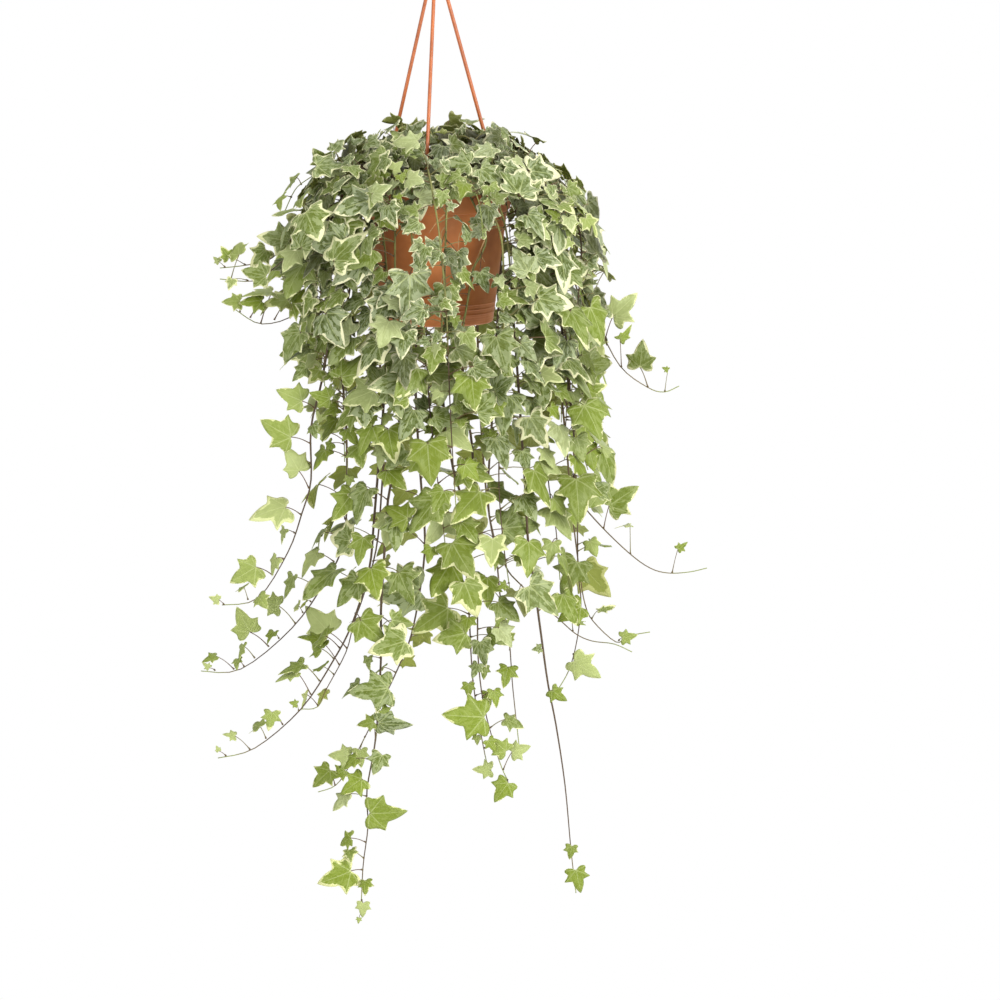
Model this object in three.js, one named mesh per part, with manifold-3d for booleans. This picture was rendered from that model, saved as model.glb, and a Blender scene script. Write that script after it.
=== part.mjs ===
// Potted variegated english ivy, hanging from a three-legged hanger.
// Millimetres, +Z up, -Y is the front. The origin is where the hook bears on the rail that it hangs from.
import * as THREE from "three";
import { mergeVertices } from "three/addons/utils/BufferGeometryUtils.js";
import Module from "manifold-3d";

const wasm = await Module();
wasm.setup();

// Driving dimensions of the pot
const RIM_Z = -283; // the pot's top edge
const RIM_RADIUS = 75;
const RIM_BAND = 24; // height of the thicker band under the edge
const POT_HEIGHT = 136;
const FOOT_RADIUS = 56;
const WALL = 2.2;
const BASE_THICK = 2.6;
const FOOT_RISE = 2.5; // the middle of the base stands clear of a table by this
const BASE_Z = RIM_Z - POT_HEIGHT;
const DRAIN_HOLE_RADIUS = 4.5;
const DRAIN_RING_RADIUS = 30;
const POT_SIDES = 32;
const GAP = 0.4; // between pieces that rest on each other

// Driving dimensions of the soil
const SOIL_Z = RIM_Z - 15; // its level at the wall
const SOIL_MOUND = 5;

// Driving dimensions of the hanger, which is one moulding
const HOOK_BORE = 15; // inside radius of the hook
const HOOK_THICK = 2.6; // radius of the hook's round section
const COLLAR_Z = -66; // where the three legs meet
const COLLAR_RADIUS = 6;
const LEG_RADIUS = 1.9;
const LEG_ANGLES = [261.8, 141.8, 21.8]; // degrees round the pot, the first at the front
const LEG_FOOT_RADIUS = 68.6;
const PEG_Z = RIM_Z - 10;
const PEG_RADIUS = 1.8;
const PEG_HOLE_RADIUS = 2.3;
const BUTTON_RADIUS = 4.2;

// Driving dimensions of the ivy
const STEM_RADIUS = 1.3;
const PETIOLE_RADIUS = 0.62;
const BLADE_THICK = 0.9;
const GUARD_THICK = 2.6; // room kept clear through a blade when its place is chosen
const GUARD_SPREAD = 1.05;
const ROOT_DEPTH = 14;
const ROOT_HOLE_RADIUS = 2;
const SLOT_DEGREES = 7.5; // one stem leaves over the rim in each slot
const ROOT_RADII = [58, 36, 50, 28];
const ATTEMPTS = 14;
const SEEN_SEED = 2000;

// The eye that the free-hanging stems were sighted from. A sighted point is [across, down, forward]:
// across and down on an upright plane through the pot's middle, from the upper left, then forward of it.
const EYE_DISTANCE = 4000;
const EYE_TILT = (9 * Math.PI) / 180;
const SIGHT_CENTRE = 500; // across and down
const POT_ACROSS = 437;
const RIM_DOWN = 184;

const colours = {
  leaf: new THREE.MeshStandardMaterial({ color: 0x8fa670, roughness: 0.5, metalness: 0 }),
  pot: new THREE.MeshStandardMaterial({ color: 0xb4623a, roughness: 0.55, metalness: 0 }),
  hanger: new THREE.MeshStandardMaterial({ color: 0xb5622f, roughness: 0.4, metalness: 0 }),
  soil: new THREE.MeshStandardMaterial({ color: 0x2e2118, roughness: 0.95, metalness: 0 }),
};

// Small vector helpers
const vec = (x, y, z) => new THREE.Vector3(x, y, z);
const radians = (degrees) => (degrees * Math.PI) / 180;
const polar = (radius, degrees, z) =>
  vec(radius * Math.cos(radians(degrees)), radius * Math.sin(radians(degrees)), z);
const along = (from, to, share) => from.clone().lerp(to, share);

// A seeded draw of numbers from 0 to 1, the same on every machine
function draws(seed) {
  let state = seed >>> 0;
  return () => {
    state = (state + 0x6d2b79f5) >>> 0;
    let t = Math.imul(state ^ (state >>> 15), state | 1);
    t = (t ^ ((t + Math.imul(t ^ (t >>> 7), t | 61)) | 0)) >>> 0;
    return ((t ^ (t >>> 14)) >>> 0) / 4294967296;
  };
}

// A closed geometry as a solid that can be joined and cut
function solid(geometry) {
  const bare = geometry.clone();
  bare.deleteAttribute("normal");
  bare.deleteAttribute("uv");
  const merged = mergeVertices(bare, 1e-4);
  return new wasm.Manifold(
    new wasm.Mesh({
      numProp: 3,
      vertProperties: merged.getAttribute("position").array,
      triVerts: new Uint32Array(merged.index.array),
    }),
  );
}

// A solid of triangles given as points and corner numbers
function facets(points, corners) {
  const geometry = new THREE.BufferGeometry();
  geometry.setAttribute(
    "position",
    new THREE.BufferAttribute(new Float32Array(points.flatMap((p) => [p.x, p.y, p.z])), 3),
  );
  geometry.setIndex(corners.flat());
  return solid(geometry);
}

function named(name, shape, material) {
  const made = shape.getMesh();
  const geometry = new THREE.BufferGeometry();
  geometry.setAttribute("position", new THREE.BufferAttribute(made.vertProperties, 3));
  geometry.setIndex(new THREE.BufferAttribute(made.triVerts, 1));
  geometry.computeVertexNormals();
  const mesh = new THREE.Mesh(geometry, material);
  mesh.name = name;
  return mesh;
}

// A profile of [radius, z] points, from axis to axis, turned about Z
function turned(profile, sides) {
  const geometry = new THREE.LatheGeometry(
    profile.map(([r, z]) => new THREE.Vector2(r, z)),
    sides,
  );
  geometry.rotateX(Math.PI / 2);
  return solid(geometry);
}

// A straight round bar between two points
function bar(from, to, radius, sides) {
  const length = from.distanceTo(to);
  const geometry = new THREE.CylinderGeometry(radius, radius, length, sides);
  geometry.applyQuaternion(
    new THREE.Quaternion().setFromUnitVectors(vec(0, 1, 0), to.clone().sub(from).divideScalar(length)),
  );
  const middle = along(from, to, 0.5);
  geometry.translate(middle.x, middle.y, middle.z);
  return solid(geometry);
}

// A three-sided rod along a line of points
function rod(points, radius) {
  const sides = 3;
  const ring = [];
  let across = null;
  points.forEach((point, i) => {
    const before = points[Math.max(i - 1, 0)];
    const after = points[Math.min(i + 1, points.length - 1)];
    const forward = after.clone().sub(before).normalize();
    if (!across) across = Math.abs(forward.x) < 0.8 ? vec(1, 0, 0) : vec(0, 1, 0);
    across = across.clone().addScaledVector(forward, -across.dot(forward)).normalize();
    const third = forward.clone().cross(across);
    for (let k = 0; k < sides; k++) {
      const turn = (2 * Math.PI * k) / sides;
      ring.push(
        point
          .clone()
          .addScaledVector(across, radius * Math.cos(turn))
          .addScaledVector(third, radius * Math.sin(turn)),
      );
    }
  });
  const corners = [[0, 2, 1]];
  for (let i = 0; i + 1 < points.length; i++)
    for (let k = 0; k < sides; k++) {
      const a = i * sides + k;
      const b = i * sides + ((k + 1) % sides);
      corners.push([a, b, b + sides], [a, b + sides, a + sides]);
    }
  const last = (points.length - 1) * sides;
  corners.push([last, last + 1, last + 2]);
  return facets(ring, corners);
}

// The pot: a tapered wall with a thicker band at the edge, a foot ring, drain holes and three peg holes
function pot() {
  const inner = RIM_RADIUS - WALL;
  const neck = RIM_RADIUS - 5;
  const floor = BASE_Z + FOOT_RISE + BASE_THICK;
  let shape = turned(
    [
      [0, BASE_Z + FOOT_RISE],
      [FOOT_RADIUS - 11, BASE_Z + FOOT_RISE],
      [FOOT_RADIUS - 9, BASE_Z],
      [FOOT_RADIUS, BASE_Z],
      [neck, RIM_Z - RIM_BAND - 2],
      [RIM_RADIUS - 2, RIM_Z - RIM_BAND],
      [RIM_RADIUS, RIM_Z - 1],
      [RIM_RADIUS - 0.8, RIM_Z],
      [inner, RIM_Z],
      [inner - 1.4, RIM_Z - RIM_BAND],
      [neck - WALL, RIM_Z - RIM_BAND - 4],
      [FOOT_RADIUS - WALL, floor + 1],
      [FOOT_RADIUS - WALL - 2, floor],
      [0, floor],
    ],
    POT_SIDES,
  );
  for (let k = 0; k < 5; k++) {
    const place = polar(DRAIN_RING_RADIUS, 72 * k + 18, BASE_Z - 1);
    shape = shape.subtract(bar(place, vec(place.x, place.y, floor + 1), DRAIN_HOLE_RADIUS, 8));
  }
  for (const angle of LEG_ANGLES)
    shape = shape.subtract(
      bar(polar(LEG_FOOT_RADIUS, angle, PEG_Z), polar(RIM_RADIUS + 5, angle, PEG_Z), PEG_HOLE_RADIUS, 8),
    );
  return shape;
}

// The hanger: a hook, a collar, and three legs that end in pegs with buttons outside the rim
function hanger() {
  const bend = HOOK_BORE + HOOK_THICK;
  const hookMiddle = -HOOK_BORE;
  const line = [
    vec(0, 0, COLLAR_Z + 6),
    vec(-1, 0, COLLAR_Z + 14),
    vec(-9, 0, hookMiddle - 24),
    vec(-bend + 1, 0, hookMiddle - 11),
  ];
  for (let k = 0; k <= 8; k++) {
    const turn = Math.PI * (1 - k / 8);
    line.push(vec(bend * Math.cos(turn), 0, hookMiddle + bend * Math.sin(turn)));
  }
  line.push(vec(bend + 0.8, 0, hookMiddle - 9), vec(bend + 4, 0, hookMiddle - 16));
  const section = new THREE.Shape();
  for (let k = 0; k < 6; k++)
    section[k ? "lineTo" : "moveTo"](
      HOOK_THICK * Math.cos((Math.PI * k) / 3),
      HOOK_THICK * Math.sin((Math.PI * k) / 3),
    );
  const hook = new THREE.ExtrudeGeometry(section, {
    steps: 24,
    bevelEnabled: false,
    extrudePath: new THREE.CatmullRomCurve3(line),
  });
  let shape = solid(hook).add(
    turned(
      [
        [0, COLLAR_Z - 6],
        [COLLAR_RADIUS - 1, COLLAR_Z - 6],
        [COLLAR_RADIUS, COLLAR_Z - 4],
        [COLLAR_RADIUS - 0.5, COLLAR_Z + 6],
        [COLLAR_RADIUS - 2.5, COLLAR_Z + 9],
        [0, COLLAR_Z + 9],
      ],
      12,
    ),
  );
  for (const angle of LEG_ANGLES) {
    const foot = polar(LEG_FOOT_RADIUS, angle, PEG_Z);
    const leg = bar(polar(2, angle, COLLAR_Z), foot, LEG_RADIUS, 6);
    const lowEnd = polar(LEG_FOOT_RADIUS - 1, angle, PEG_Z);
    const peg = bar(lowEnd, polar(RIM_RADIUS + 2, angle, PEG_Z), PEG_RADIUS, 6);
    const button = bar(
      polar(RIM_RADIUS + GAP, angle, PEG_Z),
      polar(RIM_RADIUS + GAP + 2, angle, PEG_Z),
      BUTTON_RADIUS,
      8,
    );
    shape = shape.add(leg).add(peg).add(button);
  }
  return shape;
}

// The soil fills the pot to a low mound, with a plain hole for each stem
function soil(roots) {
  const floor = BASE_Z + FOOT_RISE + BASE_THICK + GAP;
  const low = FOOT_RADIUS - WALL - GAP;
  const neck = RIM_RADIUS - 5 - WALL - GAP;
  const top = RIM_RADIUS - WALL - 1.4 - GAP;
  let shape = turned(
    [
      [0, floor],
      [low - 2, floor],
      [low, floor + 1],
      [neck, RIM_Z - RIM_BAND - 4],
      [top, RIM_Z - RIM_BAND + 0.5],
      [top, SOIL_Z],
      [46, SOIL_Z + SOIL_MOUND * 0.6],
      [0, SOIL_Z + SOIL_MOUND],
    ],
    24,
  );
  for (const root of roots)
    shape = shape.subtract(
      bar(root, vec(root.x, root.y, SOIL_Z + SOIL_MOUND + 8), ROOT_HOLE_RADIUS, 4),
    );
  return shape;
}

// Where a sighted point really is
function sighted([across, down, forward]) {
  const u = across - SIGHT_CENTRE;
  const v = SIGHT_CENTRE - down;
  const [c, s] = [Math.cos(EYE_TILT), Math.sin(EYE_TILT)];
  const rise =
    (v * EYE_DISTANCE - v * forward * c + EYE_DISTANCE * forward * s) / (EYE_DISTANCE * c + v * s);
  const x = (u * (EYE_DISTANCE - forward * c - rise * s)) / EYE_DISTANCE;
  return vec(SIGHT_CENTRE - POT_ACROSS + x, -forward, RIM_Z + RIM_DOWN - SIGHT_CENTRE + rise);
}

// The other way round: where a point is seen, across and down
function seenAt(point) {
  const [c, s] = [Math.cos(EYE_TILT), Math.sin(EYE_TILT)];
  const x = point.x + POT_ACROSS - SIGHT_CENTRE;
  const rise = point.z - (RIM_Z + RIM_DOWN - SIGHT_CENTRE);
  const scale = EYE_DISTANCE / (EYE_DISTANCE + point.y * c - rise * s);
  return [SIGHT_CENTRE + x * scale, SIGHT_CENTRE - (rise * c + point.y * s) * scale];
}

// The stems whose way down can be followed by eye: the slot over the rim, the sighted points, and the leaves
// that can be told apart. Such a leaf is [foot across, foot down, joint across, joint down, tip across,
// tip down, tip forward, roll]: where its stalk leaves the stem, where its blade starts and ends, how far the
// tip comes forward of the joint, and the degrees that the blade is rolled from facing the eye. From the
// sighted point numbered bare onwards the stem has only these.
const FOLLOWED = [
  { name: "trail_left_high", slot: 25,
    seen: [[330, 200, 20], [298, 232, 25], [272, 258, 25], [247, 265, 20], [220, 268, 15]],
    bare: 1,
    leaves: [[298, 232, 289, 241, 257, 236, 8, 10], [272, 257, 266, 250, 251, 268, 6, -20],
      [246, 265, 229, 258, 221, 246, 2, 0], [225, 267, 219, 262, 213, 257, 2, 0]] },
  { name: "trail_left_shoulder", slot: 27,
    seen: [[335, 215, 45], [310, 237, 50], [273, 269, 50], [253, 281, 45], [220, 279, 40]],
    bare: 1,
    leaves: [[306, 240, 296, 250, 282, 271, 10, 15], [270, 271, 266, 276, 241, 271, 6, 0],
      [248, 281, 232, 279, 228, 290, 4, 0]] },
  { name: "trail_left_arc", slot: 23,
    seen: [[340, 235, -10], [318, 270, -15], [297, 312, -10], [262, 324, -5], [236, 310, 0]],
    bare: 2,
    leaves: [[262, 324, 272, 292, 243, 289, 14, 65], [275, 322, 288, 300, 262, 301, 8, 30],
      [250, 318, 262, 301, 240, 300, 6, 30], [240, 312, 240, 301, 222, 301, 4, 10]] },
  { name: "trail_left_outer", slot: 29,
    seen: [[345, 250, 75], [334, 310, 85], [322, 380, 85], [311, 428, 80], [311, 480, 75],
      [302, 513, 70], [288, 552, 65], [258, 598, 60], [222, 605, 55]],
    bare: 2,
    leaves: [[322, 378, 306, 367, 292, 379, 8, 20], [321, 376, 320, 370, 308, 384, 6, 0],
      [317, 409, 302, 401, 277, 391, 8, 0], [318, 402, 330, 398, 309, 394, 8, -20],
      [309, 444, 291, 437, 261, 422, 8, 0], [308, 488, 299, 471, 287, 448, 8, 15],
      [303, 514, 286, 507, 249, 513, 10, 40], [291, 549, 280, 537, 288, 523, 3, 80],
      [271, 574, 256, 567, 230, 583, 6, 10], [224, 605, 219, 600, 209, 597, 2, 0]] },
  { name: "trail_left_sweep", slot: 21,
    seen: [[352, 270, -45], [340, 347, -55], [345, 409, -55], [347, 470, -50], [344, 540, -45],
      [326, 580, -40], [292, 628, -30], [241, 669, -20], [201, 671, -10]],
    bare: 4,
    leaves: [[345, 443, 331, 433, 318, 411, 8, 0], [330, 560, 318, 553, 296, 572, 4, 60],
      [320, 590, 293, 576, 283, 599, 4, 60], [296, 624, 279, 606, 257, 600, 6, 10],
      [269, 647, 250, 632, 237, 609, 5, 0], [234, 669, 216, 656, 201, 660, 3, 60],
      [215, 672, 209, 668, 203, 663, 2, 0]] },
  { name: "trail_left_low", slot: 31,
    seen: [[385, 250, 100], [388, 320, 110], [384, 400, 110], [379, 460, 105], [374, 520, 100],
      [369, 570, 95], [352, 624, 90], [333, 661, 85], [301, 709, 80], [255, 748, 70], [218, 758, 65]],
    bare: 7,
    leaves: [[318, 680, 303, 664, 277, 673, 5, 60], [313, 696, 297, 672, 274, 677, 3, 75],
      [284, 726, 272, 712, 269, 731, 6, 0], [300, 711, 297, 704, 289, 702, 2, 0],
      [250, 750, 235, 736, 223, 733, 3, 40], [226, 756, 219, 751, 216, 746, 1, 0]] },
  { name: "trail_left_inner", slot: 17,
    seen: [[372, 250, -70], [378, 340, -80], [384, 430, -80], [381, 500, -75], [376, 550, -70],
      [363, 597, -65], [354, 622, -60], [346, 652, -58], [327, 688, -55], [317, 707, -50],
      [302, 709, -45]],
    bare: 6,
    leaves: [[345, 648, 329, 632, 306, 609, 8, 0], [332, 661, 320, 640, 300, 633, 6, 50]] },
  { name: "trail_longest", slot: 33,
    seen: [[395, 262, 118], [401, 340, 122], [400, 400, 120], [397, 455, 115], [388, 500, 112],
      [384, 560, 110], [381, 610, 108], [381, 658, 105], [376, 736, 100], [367, 790, 98], [368, 826, 95],
      [363, 867, 92], [361, 915, 90]],
    bare: 6,
    leaves: [[399, 285, 388, 298, 372, 329, 8, -10], [381, 616, 405, 641, 368, 653, 8, 0],
      [380, 674, 388, 688, 349, 693, 8, 0], [376, 738, 379, 723, 413, 727, 6, 45],
      [374, 740, 374, 722, 358, 725, 6, 0], [367, 786, 362, 779, 340, 793, 6, 10],
      [368, 822, 370, 813, 407, 815, 6, 20], [362, 870, 351, 871, 318, 886, 5, 0],
      [363, 900, 363, 903, 362, 918, 3, 0], [360, 914, 359, 918, 358, 924, 1, 0]] },
  { name: "trail_back_left", slot: 13,
    seen: [[418, 262, -100], [416, 340, -105], [416, 400, -105], [420, 470, -100], [425, 540, -95],
      [420, 590, -92], [411, 636, -90], [399, 666, -88], [383, 700, -85], [366, 735, -80],
      [350, 765, -78], [336, 785, -74], [318, 792, -70]],
    bare: 6,
    leaves: [[420, 584, 419, 590, 370, 594, 8, 0], [366, 735, 360, 750, 361, 768, 6, 10],
      [352, 760, 350, 756, 329, 755, 6, 20], [345, 772, 345, 770, 330, 778, 6, 0],
      [336, 785, 330, 770, 312, 787, 5, 20]] },
  { name: "trail_front_middle", slot: 37,
    seen: [[446, 230, 112], [444, 290, 118], [441, 350, 120], [444, 410, 118], [453, 468, 114],
      [460, 492, 112], [467, 518, 112], [470, 560, 110], [477, 608, 108], [478, 656, 106],
      [484, 706, 103], [499, 760, 98], [508, 781, 95]],
    bare: 8,
    leaves: [[446, 232, 440, 250, 412, 257, 8, 0], [446, 240, 457, 252, 455, 284, 6, 30],
      [444, 270, 446, 287, 443, 317, 6, 0], [478, 650, 480, 642, 484, 668, 6, 30],
      [478, 672, 478, 664, 471, 678, 4, 30], [484, 712, 484, 717, 442, 716, 8, 0],
      [505, 769, 512, 752, 530, 746, 4, 0], [495, 755, 506, 751, 490, 738, 4, 0],
      [507, 780, 508, 783, 494, 803, 3, 0]] },
  { name: "trail_front_pale", slot: 38,
    seen: [[486, 235, 100], [473, 270, 106], [467, 305, 106], [462, 340, 106], [465, 400, 104],
      [472, 445, 100], [472, 480, 97], [468, 520, 93], [466, 561, 90], [469, 611, 87], [473, 681, 83],
      [483, 745, 79], [490, 775, 77]],
    bare: 9,
    leaves: [[486, 236, 488, 207, 489, 231, 8, 0], [480, 252, 480, 272, 487, 293, 5, 0],
      [468, 614, 448, 608, 411, 632, 8, 10], [473, 648, 466, 633, 433, 639, 6, 0],
      [490, 765, 491, 770, 473, 770, 4, 0]] },
  { name: "trail_back_right", slot: 8,
    seen: [[500, 235, -100], [497, 330, -108], [492, 420, -105], [488, 500, -100], [496, 553, -96],
      [501, 603, -92], [509, 641, -90], [511, 663, -88], [513, 690, -86], [519, 745, -84]],
    bare: 5,
    leaves: [[509, 641, 503, 634, 500, 608, 5, 60], [510, 650, 508, 640, 509, 626, 3, 30],
      [511, 668, 508, 667, 504, 686, 14, 0]] },
  { name: "trail_front_right", slot: 40,
    seen: [[505, 225, 105], [512, 300, 112], [518, 380, 110], [522, 440, 106], [526, 500, 102],
      [528, 540, 100], [535, 590, 97], [541, 634, 95], [548, 684, 92], [556, 725, 90], [565, 785, 87],
      [571, 850, 84], [576, 893, 82]],
    bare: 7,
    leaves: [[542, 655, 541, 648, 532, 650, 3, 0], [549, 692, 552, 690, 566, 702, 4, 20],
      [571, 850, 572, 846, 570, 860, 3, 0], [576, 885, 576, 870, 582, 893, 3, 0]] },
  { name: "trail_right_hook", slot: 44,
    seen: [[545, 240, 60], [562, 330, 68], [570, 400, 68], [576, 460, 66], [573, 483, 66],
      [577, 520, 65], [578, 570, 63], [581, 603, 62], [577, 640, 60], [569, 670, 58], [557, 691, 56]],
    bare: 5,
    leaves: [[578, 545, 590, 541, 597, 557, 4, 20], [578, 560, 577, 562, 562, 596, 8, 0],
      [580, 612, 581, 607, 557, 620, 6, 10], [577, 655, 574, 661, 600, 680, 4, 30]] },
  { name: "trail_right_arc", slot: 47,
    seen: [[545, 215, 10], [566, 255, 8], [582, 303, 5], [597, 324, 2], [620, 366, 0], [647, 387, -3],
      [664, 392, -5], [679, 386, -8]],
    bare: 3,
    leaves: [[605, 339, 613, 316, 637, 295, 5, 0], [620, 367, 620, 339, 634, 328, 4, 50],
      [647, 387, 640, 367, 643, 340, 4, 0], [664, 392, 668, 370, 662, 367, 1, 0]] },
  { name: "trail_right_outer", slot: 4,
    seen: [[550, 260, -45], [566, 340, -52], [572, 420, -52], [575, 475, -50], [580, 500, -48],
      [600, 525, -44], [629, 553, -40], [650, 568, -36], [668, 573, -33], [689, 572, -30],
      [707, 568, -28]],
    bare: 5,
    leaves: [[604, 528, 609, 506, 637, 486, 5, 0], [631, 553, 630, 525, 614, 526, 3, 75],
      [672, 570, 678, 549, 688, 543, 2, 30]] },
  { name: "trail_back_sweep", slot: 10,
    seen: [[475, 255, -115], [478, 350, -122], [482, 440, -120], [490, 520, -115], [505, 565, -110],
      [519, 583, -106], [541, 603, -100], [561, 621, -95], [576, 634, -90], [592, 641, -86],
      [614, 644, -82], [632, 652, -80]],
    bare: 8 },
  { name: "trail_right_curl", slot: 6,
    seen: [[540, 262, -75], [556, 350, -82], [565, 430, -82], [572, 510, -78], [580, 575, -74],
      [585, 604, -72], [593, 621, -70], [616, 642, -66], [628, 636, -64], [650, 632, -62]],
    bare: 5,
    leaves: [[593, 618, 599, 610, 616, 607, 2, 70], [620, 643, 622, 638, 638, 635, 3, 20]] },
  { name: "trail_right_front", slot: 41,
    seen: [[525, 235, 85], [533, 300, 92], [537, 341, 93], [539, 380, 92], [536, 409, 90],
      [541, 428, 88], [546, 450, 87], [549, 487, 85], [556, 530, 82], [560, 580, 80]] },
  { name: "trail_right_short", slot: 45,
    seen: [[535, 230, 40], [549, 290, 45], [551, 341, 46], [556, 375, 46], [567, 406, 44],
      [578, 440, 42], [588, 470, 38]],
    leaves: [[570, 410, 583, 393, 606, 386, 6, 10]] },
  { name: "trail_front_left", slot: 34,
    seen: [[412, 240, 128], [420, 300, 134], [427, 360, 134], [429, 400, 132], [434, 450, 128],
      [440, 500, 124], [447, 560, 120]],
    leaves: [[413, 262, 410, 275, 411, 324, 7, -15], [414, 240, 419, 222, 402, 233, 6, 0]] },
  { name: "trail_front_short", slot: 39,
    seen: [[500, 232, 122], [503, 300, 130], [504, 376, 130], [504, 409, 128], [500, 440, 126],
      [499, 487, 122], [503, 540, 118], [510, 590, 114]] },
];

// The slots of the shorter stems that hang all round in between
const SKIRT_SLOTS = [1, 3, 5, 9, 12, 15, 19, 22, 26, 28, 30, 35, 42, 46];

// The arching shoots of the crown: rings of [count, root radius, highest point over the rim, reach]
const CROWN_RINGS = [
  { count: 9, root: 17, rise: 28, reach: 150, first: 8 },
  { count: 5, root: 8, rise: 46, reach: 104, first: 30 },
];

// The first points of any stem: straight up out of the soil
const ROOT_RISES = [-ROOT_DEPTH, -ROOT_DEPTH / 2, 0, 7];
function rootPoints(place) {
  const level = SOIL_Z + SOIL_MOUND * 0.5;
  return ROOT_RISES.map((rise) => vec(place.x, place.y, level + rise));
}

// The next two: inside the rim, then over it
const OVER_RADIUS = 90;
function overRim(slot, lift) {
  const angle = slot * SLOT_DEGREES;
  const inside = 0.45 * ROOT_RADII[slot % 4] + 38;
  return [polar(inside, angle, RIM_Z + lift * 0.8), polar(OVER_RADIUS, angle, RIM_Z + lift)];
}

function followedStem({ name, slot, seen, bare, leaves }, index) {
  const root = polar(ROOT_RADII[slot % 4], slot * SLOT_DEGREES, 0);
  const lift = 10 + 4 * (3 - (slot % 4));
  const points = [...rootPoints(root), ...overRim(slot, lift), ...seen.map(sighted)];
  return { name, kind: "trail", index, points, bare: bare && seen[bare], leaves: leaves || [] };
}

function skirtStem(slot, index) {
  const draw = draws(500 + slot);
  const angle = slot * SLOT_DEGREES;
  const root = polar(ROOT_RADII[slot % 4], angle, 0);
  const lift = 9 + 5 * (slot % 3) + 6 * draw();
  const reach = 112 + 22 * draw() + 15 * Math.cos(radians(angle));
  const drop = 180 + 130 * draw();
  const sway = 14 * (draw() - 0.5);
  return {
    name: "skirt_" + String(index + 1).padStart(2, "0"),
    kind: "skirt",
    index,
    leaves: [],
    points: [
      ...rootPoints(root),
      ...overRim(slot, lift),
      polar(reach, angle + 0.4 * sway, RIM_Z - 30),
      polar(reach + 8, angle + 0.8 * sway, RIM_Z - 0.38 * drop),
      polar(reach + 4, angle + sway, RIM_Z - 0.7 * drop),
      polar(reach + 2, angle + 1.3 * sway, RIM_Z - drop),
    ],
  };
}

function crownStem({ count, root, rise, reach, first }, k, index) {
  const draw = draws(900 + 10 * index);
  const angle = first + (360 * k) / count;
  const high = rise * (0.8 + 0.35 * draw());
  const far = reach * (0.86 + 0.28 * draw()) + 14 * Math.cos(radians(angle));
  const fall = 20 + 60 * draw();
  const turn = 16 * (draw() - 0.5);
  return {
    name: "crown_" + String(index + 1).padStart(2, "0"),
    kind: "crown",
    index,
    leaves: [],
    points: [
      ...rootPoints(polar(root, angle, 0)),
      polar(root + 0.1 * far, angle, RIM_Z + high * 0.85),
      polar(root + 0.3 * far, angle + 0.3 * turn, RIM_Z + high),
      polar(0.72 * far, angle + 0.6 * turn, RIM_Z + high * 0.45),
      polar(0.92 * far, angle + 0.8 * turn, RIM_Z - fall * 0.3),
      polar(far, angle + turn, RIM_Z - fall),
    ],
  };
}

// Points on a smooth curve through all the given points. The arch over the rim gets a point between each
// two, and the hanging part keeps its own.
const ARCH_POINTS = 6;
function smoothLine(points) {
  const line = [];
  points.forEach((point, i) => {
    line.push(point);
    if (i < 3 || i > ARCH_POINTS || i + 1 >= points.length) return;
    const before = points[i - 1];
    const next = points[i + 1];
    const after = points[Math.min(i + 2, points.length - 1)];
    const middle = vec(0, 0, 0)
      .addScaledVector(before, -1 / 16)
      .addScaledVector(point, 9 / 16)
      .addScaledVector(next, 9 / 16)
      .addScaledVector(after, -1 / 16);
    line.push(middle);
  });
  return line;
}

// Sites for leaves along a line: how far apart, and which of them the solid carries
const SPACING = { trail: 23, skirt: 22, crown: 17 };
const SPACING_LOW = 35;
const LOW_Z = RIM_Z - 390;
const CARRIED_EVERY = { trail: 5, skirt: 3, crown: 1 };
const FIRST_SITE = { trail: 62, skirt: 58, crown: 34 };
const LAST_SITE = 4; // before the stem's end
const LEAF_LENGTH = { trail: 33, skirt: 32, crown: 30 };
const SITE_SEEDS = { trail: 100, skirt: 5100, crown: 9100 };
const BESIDE_SEEN = 18; // no other leaf grows this near to one that was sighted

function sites(stem) {
  const { kind, line } = stem;
  const draw = draws(SITE_SEEDS[kind] + 37 * stem.index);
  const lengths = [0];
  for (let i = 1; i < line.length; i++) lengths.push(lengths[i - 1] + line[i].distanceTo(line[i - 1]));
  const total = lengths[lengths.length - 1];
  const bareFrom = stem.bare ? footOn(line, stem.bare[0], stem.bare[1]).reached : total;
  const made = [];
  let reached = FIRST_SITE[kind];
  let segment = 0;
  let count = 0;
  while (reached < Math.min(total - LAST_SITE, bareFrom)) {
    while (lengths[segment + 1] < reached) segment++;
    const share = (reached - lengths[segment]) / (lengths[segment + 1] - lengths[segment]);
    const place = along(line[segment], line[segment + 1], share);
    const forward = line[segment + 1].clone().sub(line[segment]).normalize();
    const left = total - reached;
    const low = kind === "trail" && place.z < LOW_Z;
    const ending = Math.min(1, 0.4 + left / 110);
    const size = LEAF_LENGTH[kind] * ending * (0.66 + 0.66 * draw());
    const randoms = Array.from({ length: 10 }, draw);
    const carried = low || count % CARRIED_EVERY[kind] === 0 || left < SPACING_LOW;
    if (carried && stem.feet.every((foot) => Math.abs(foot - reached) > BESIDE_SEEN))
      made.push({ place, forward, size, randoms, side: count % 2 ? 1 : -1 });
    count++;
    reached += (low ? SPACING_LOW : SPACING[kind]) * (0.84 + 0.32 * draw());
  }
  return made;
}

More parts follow.
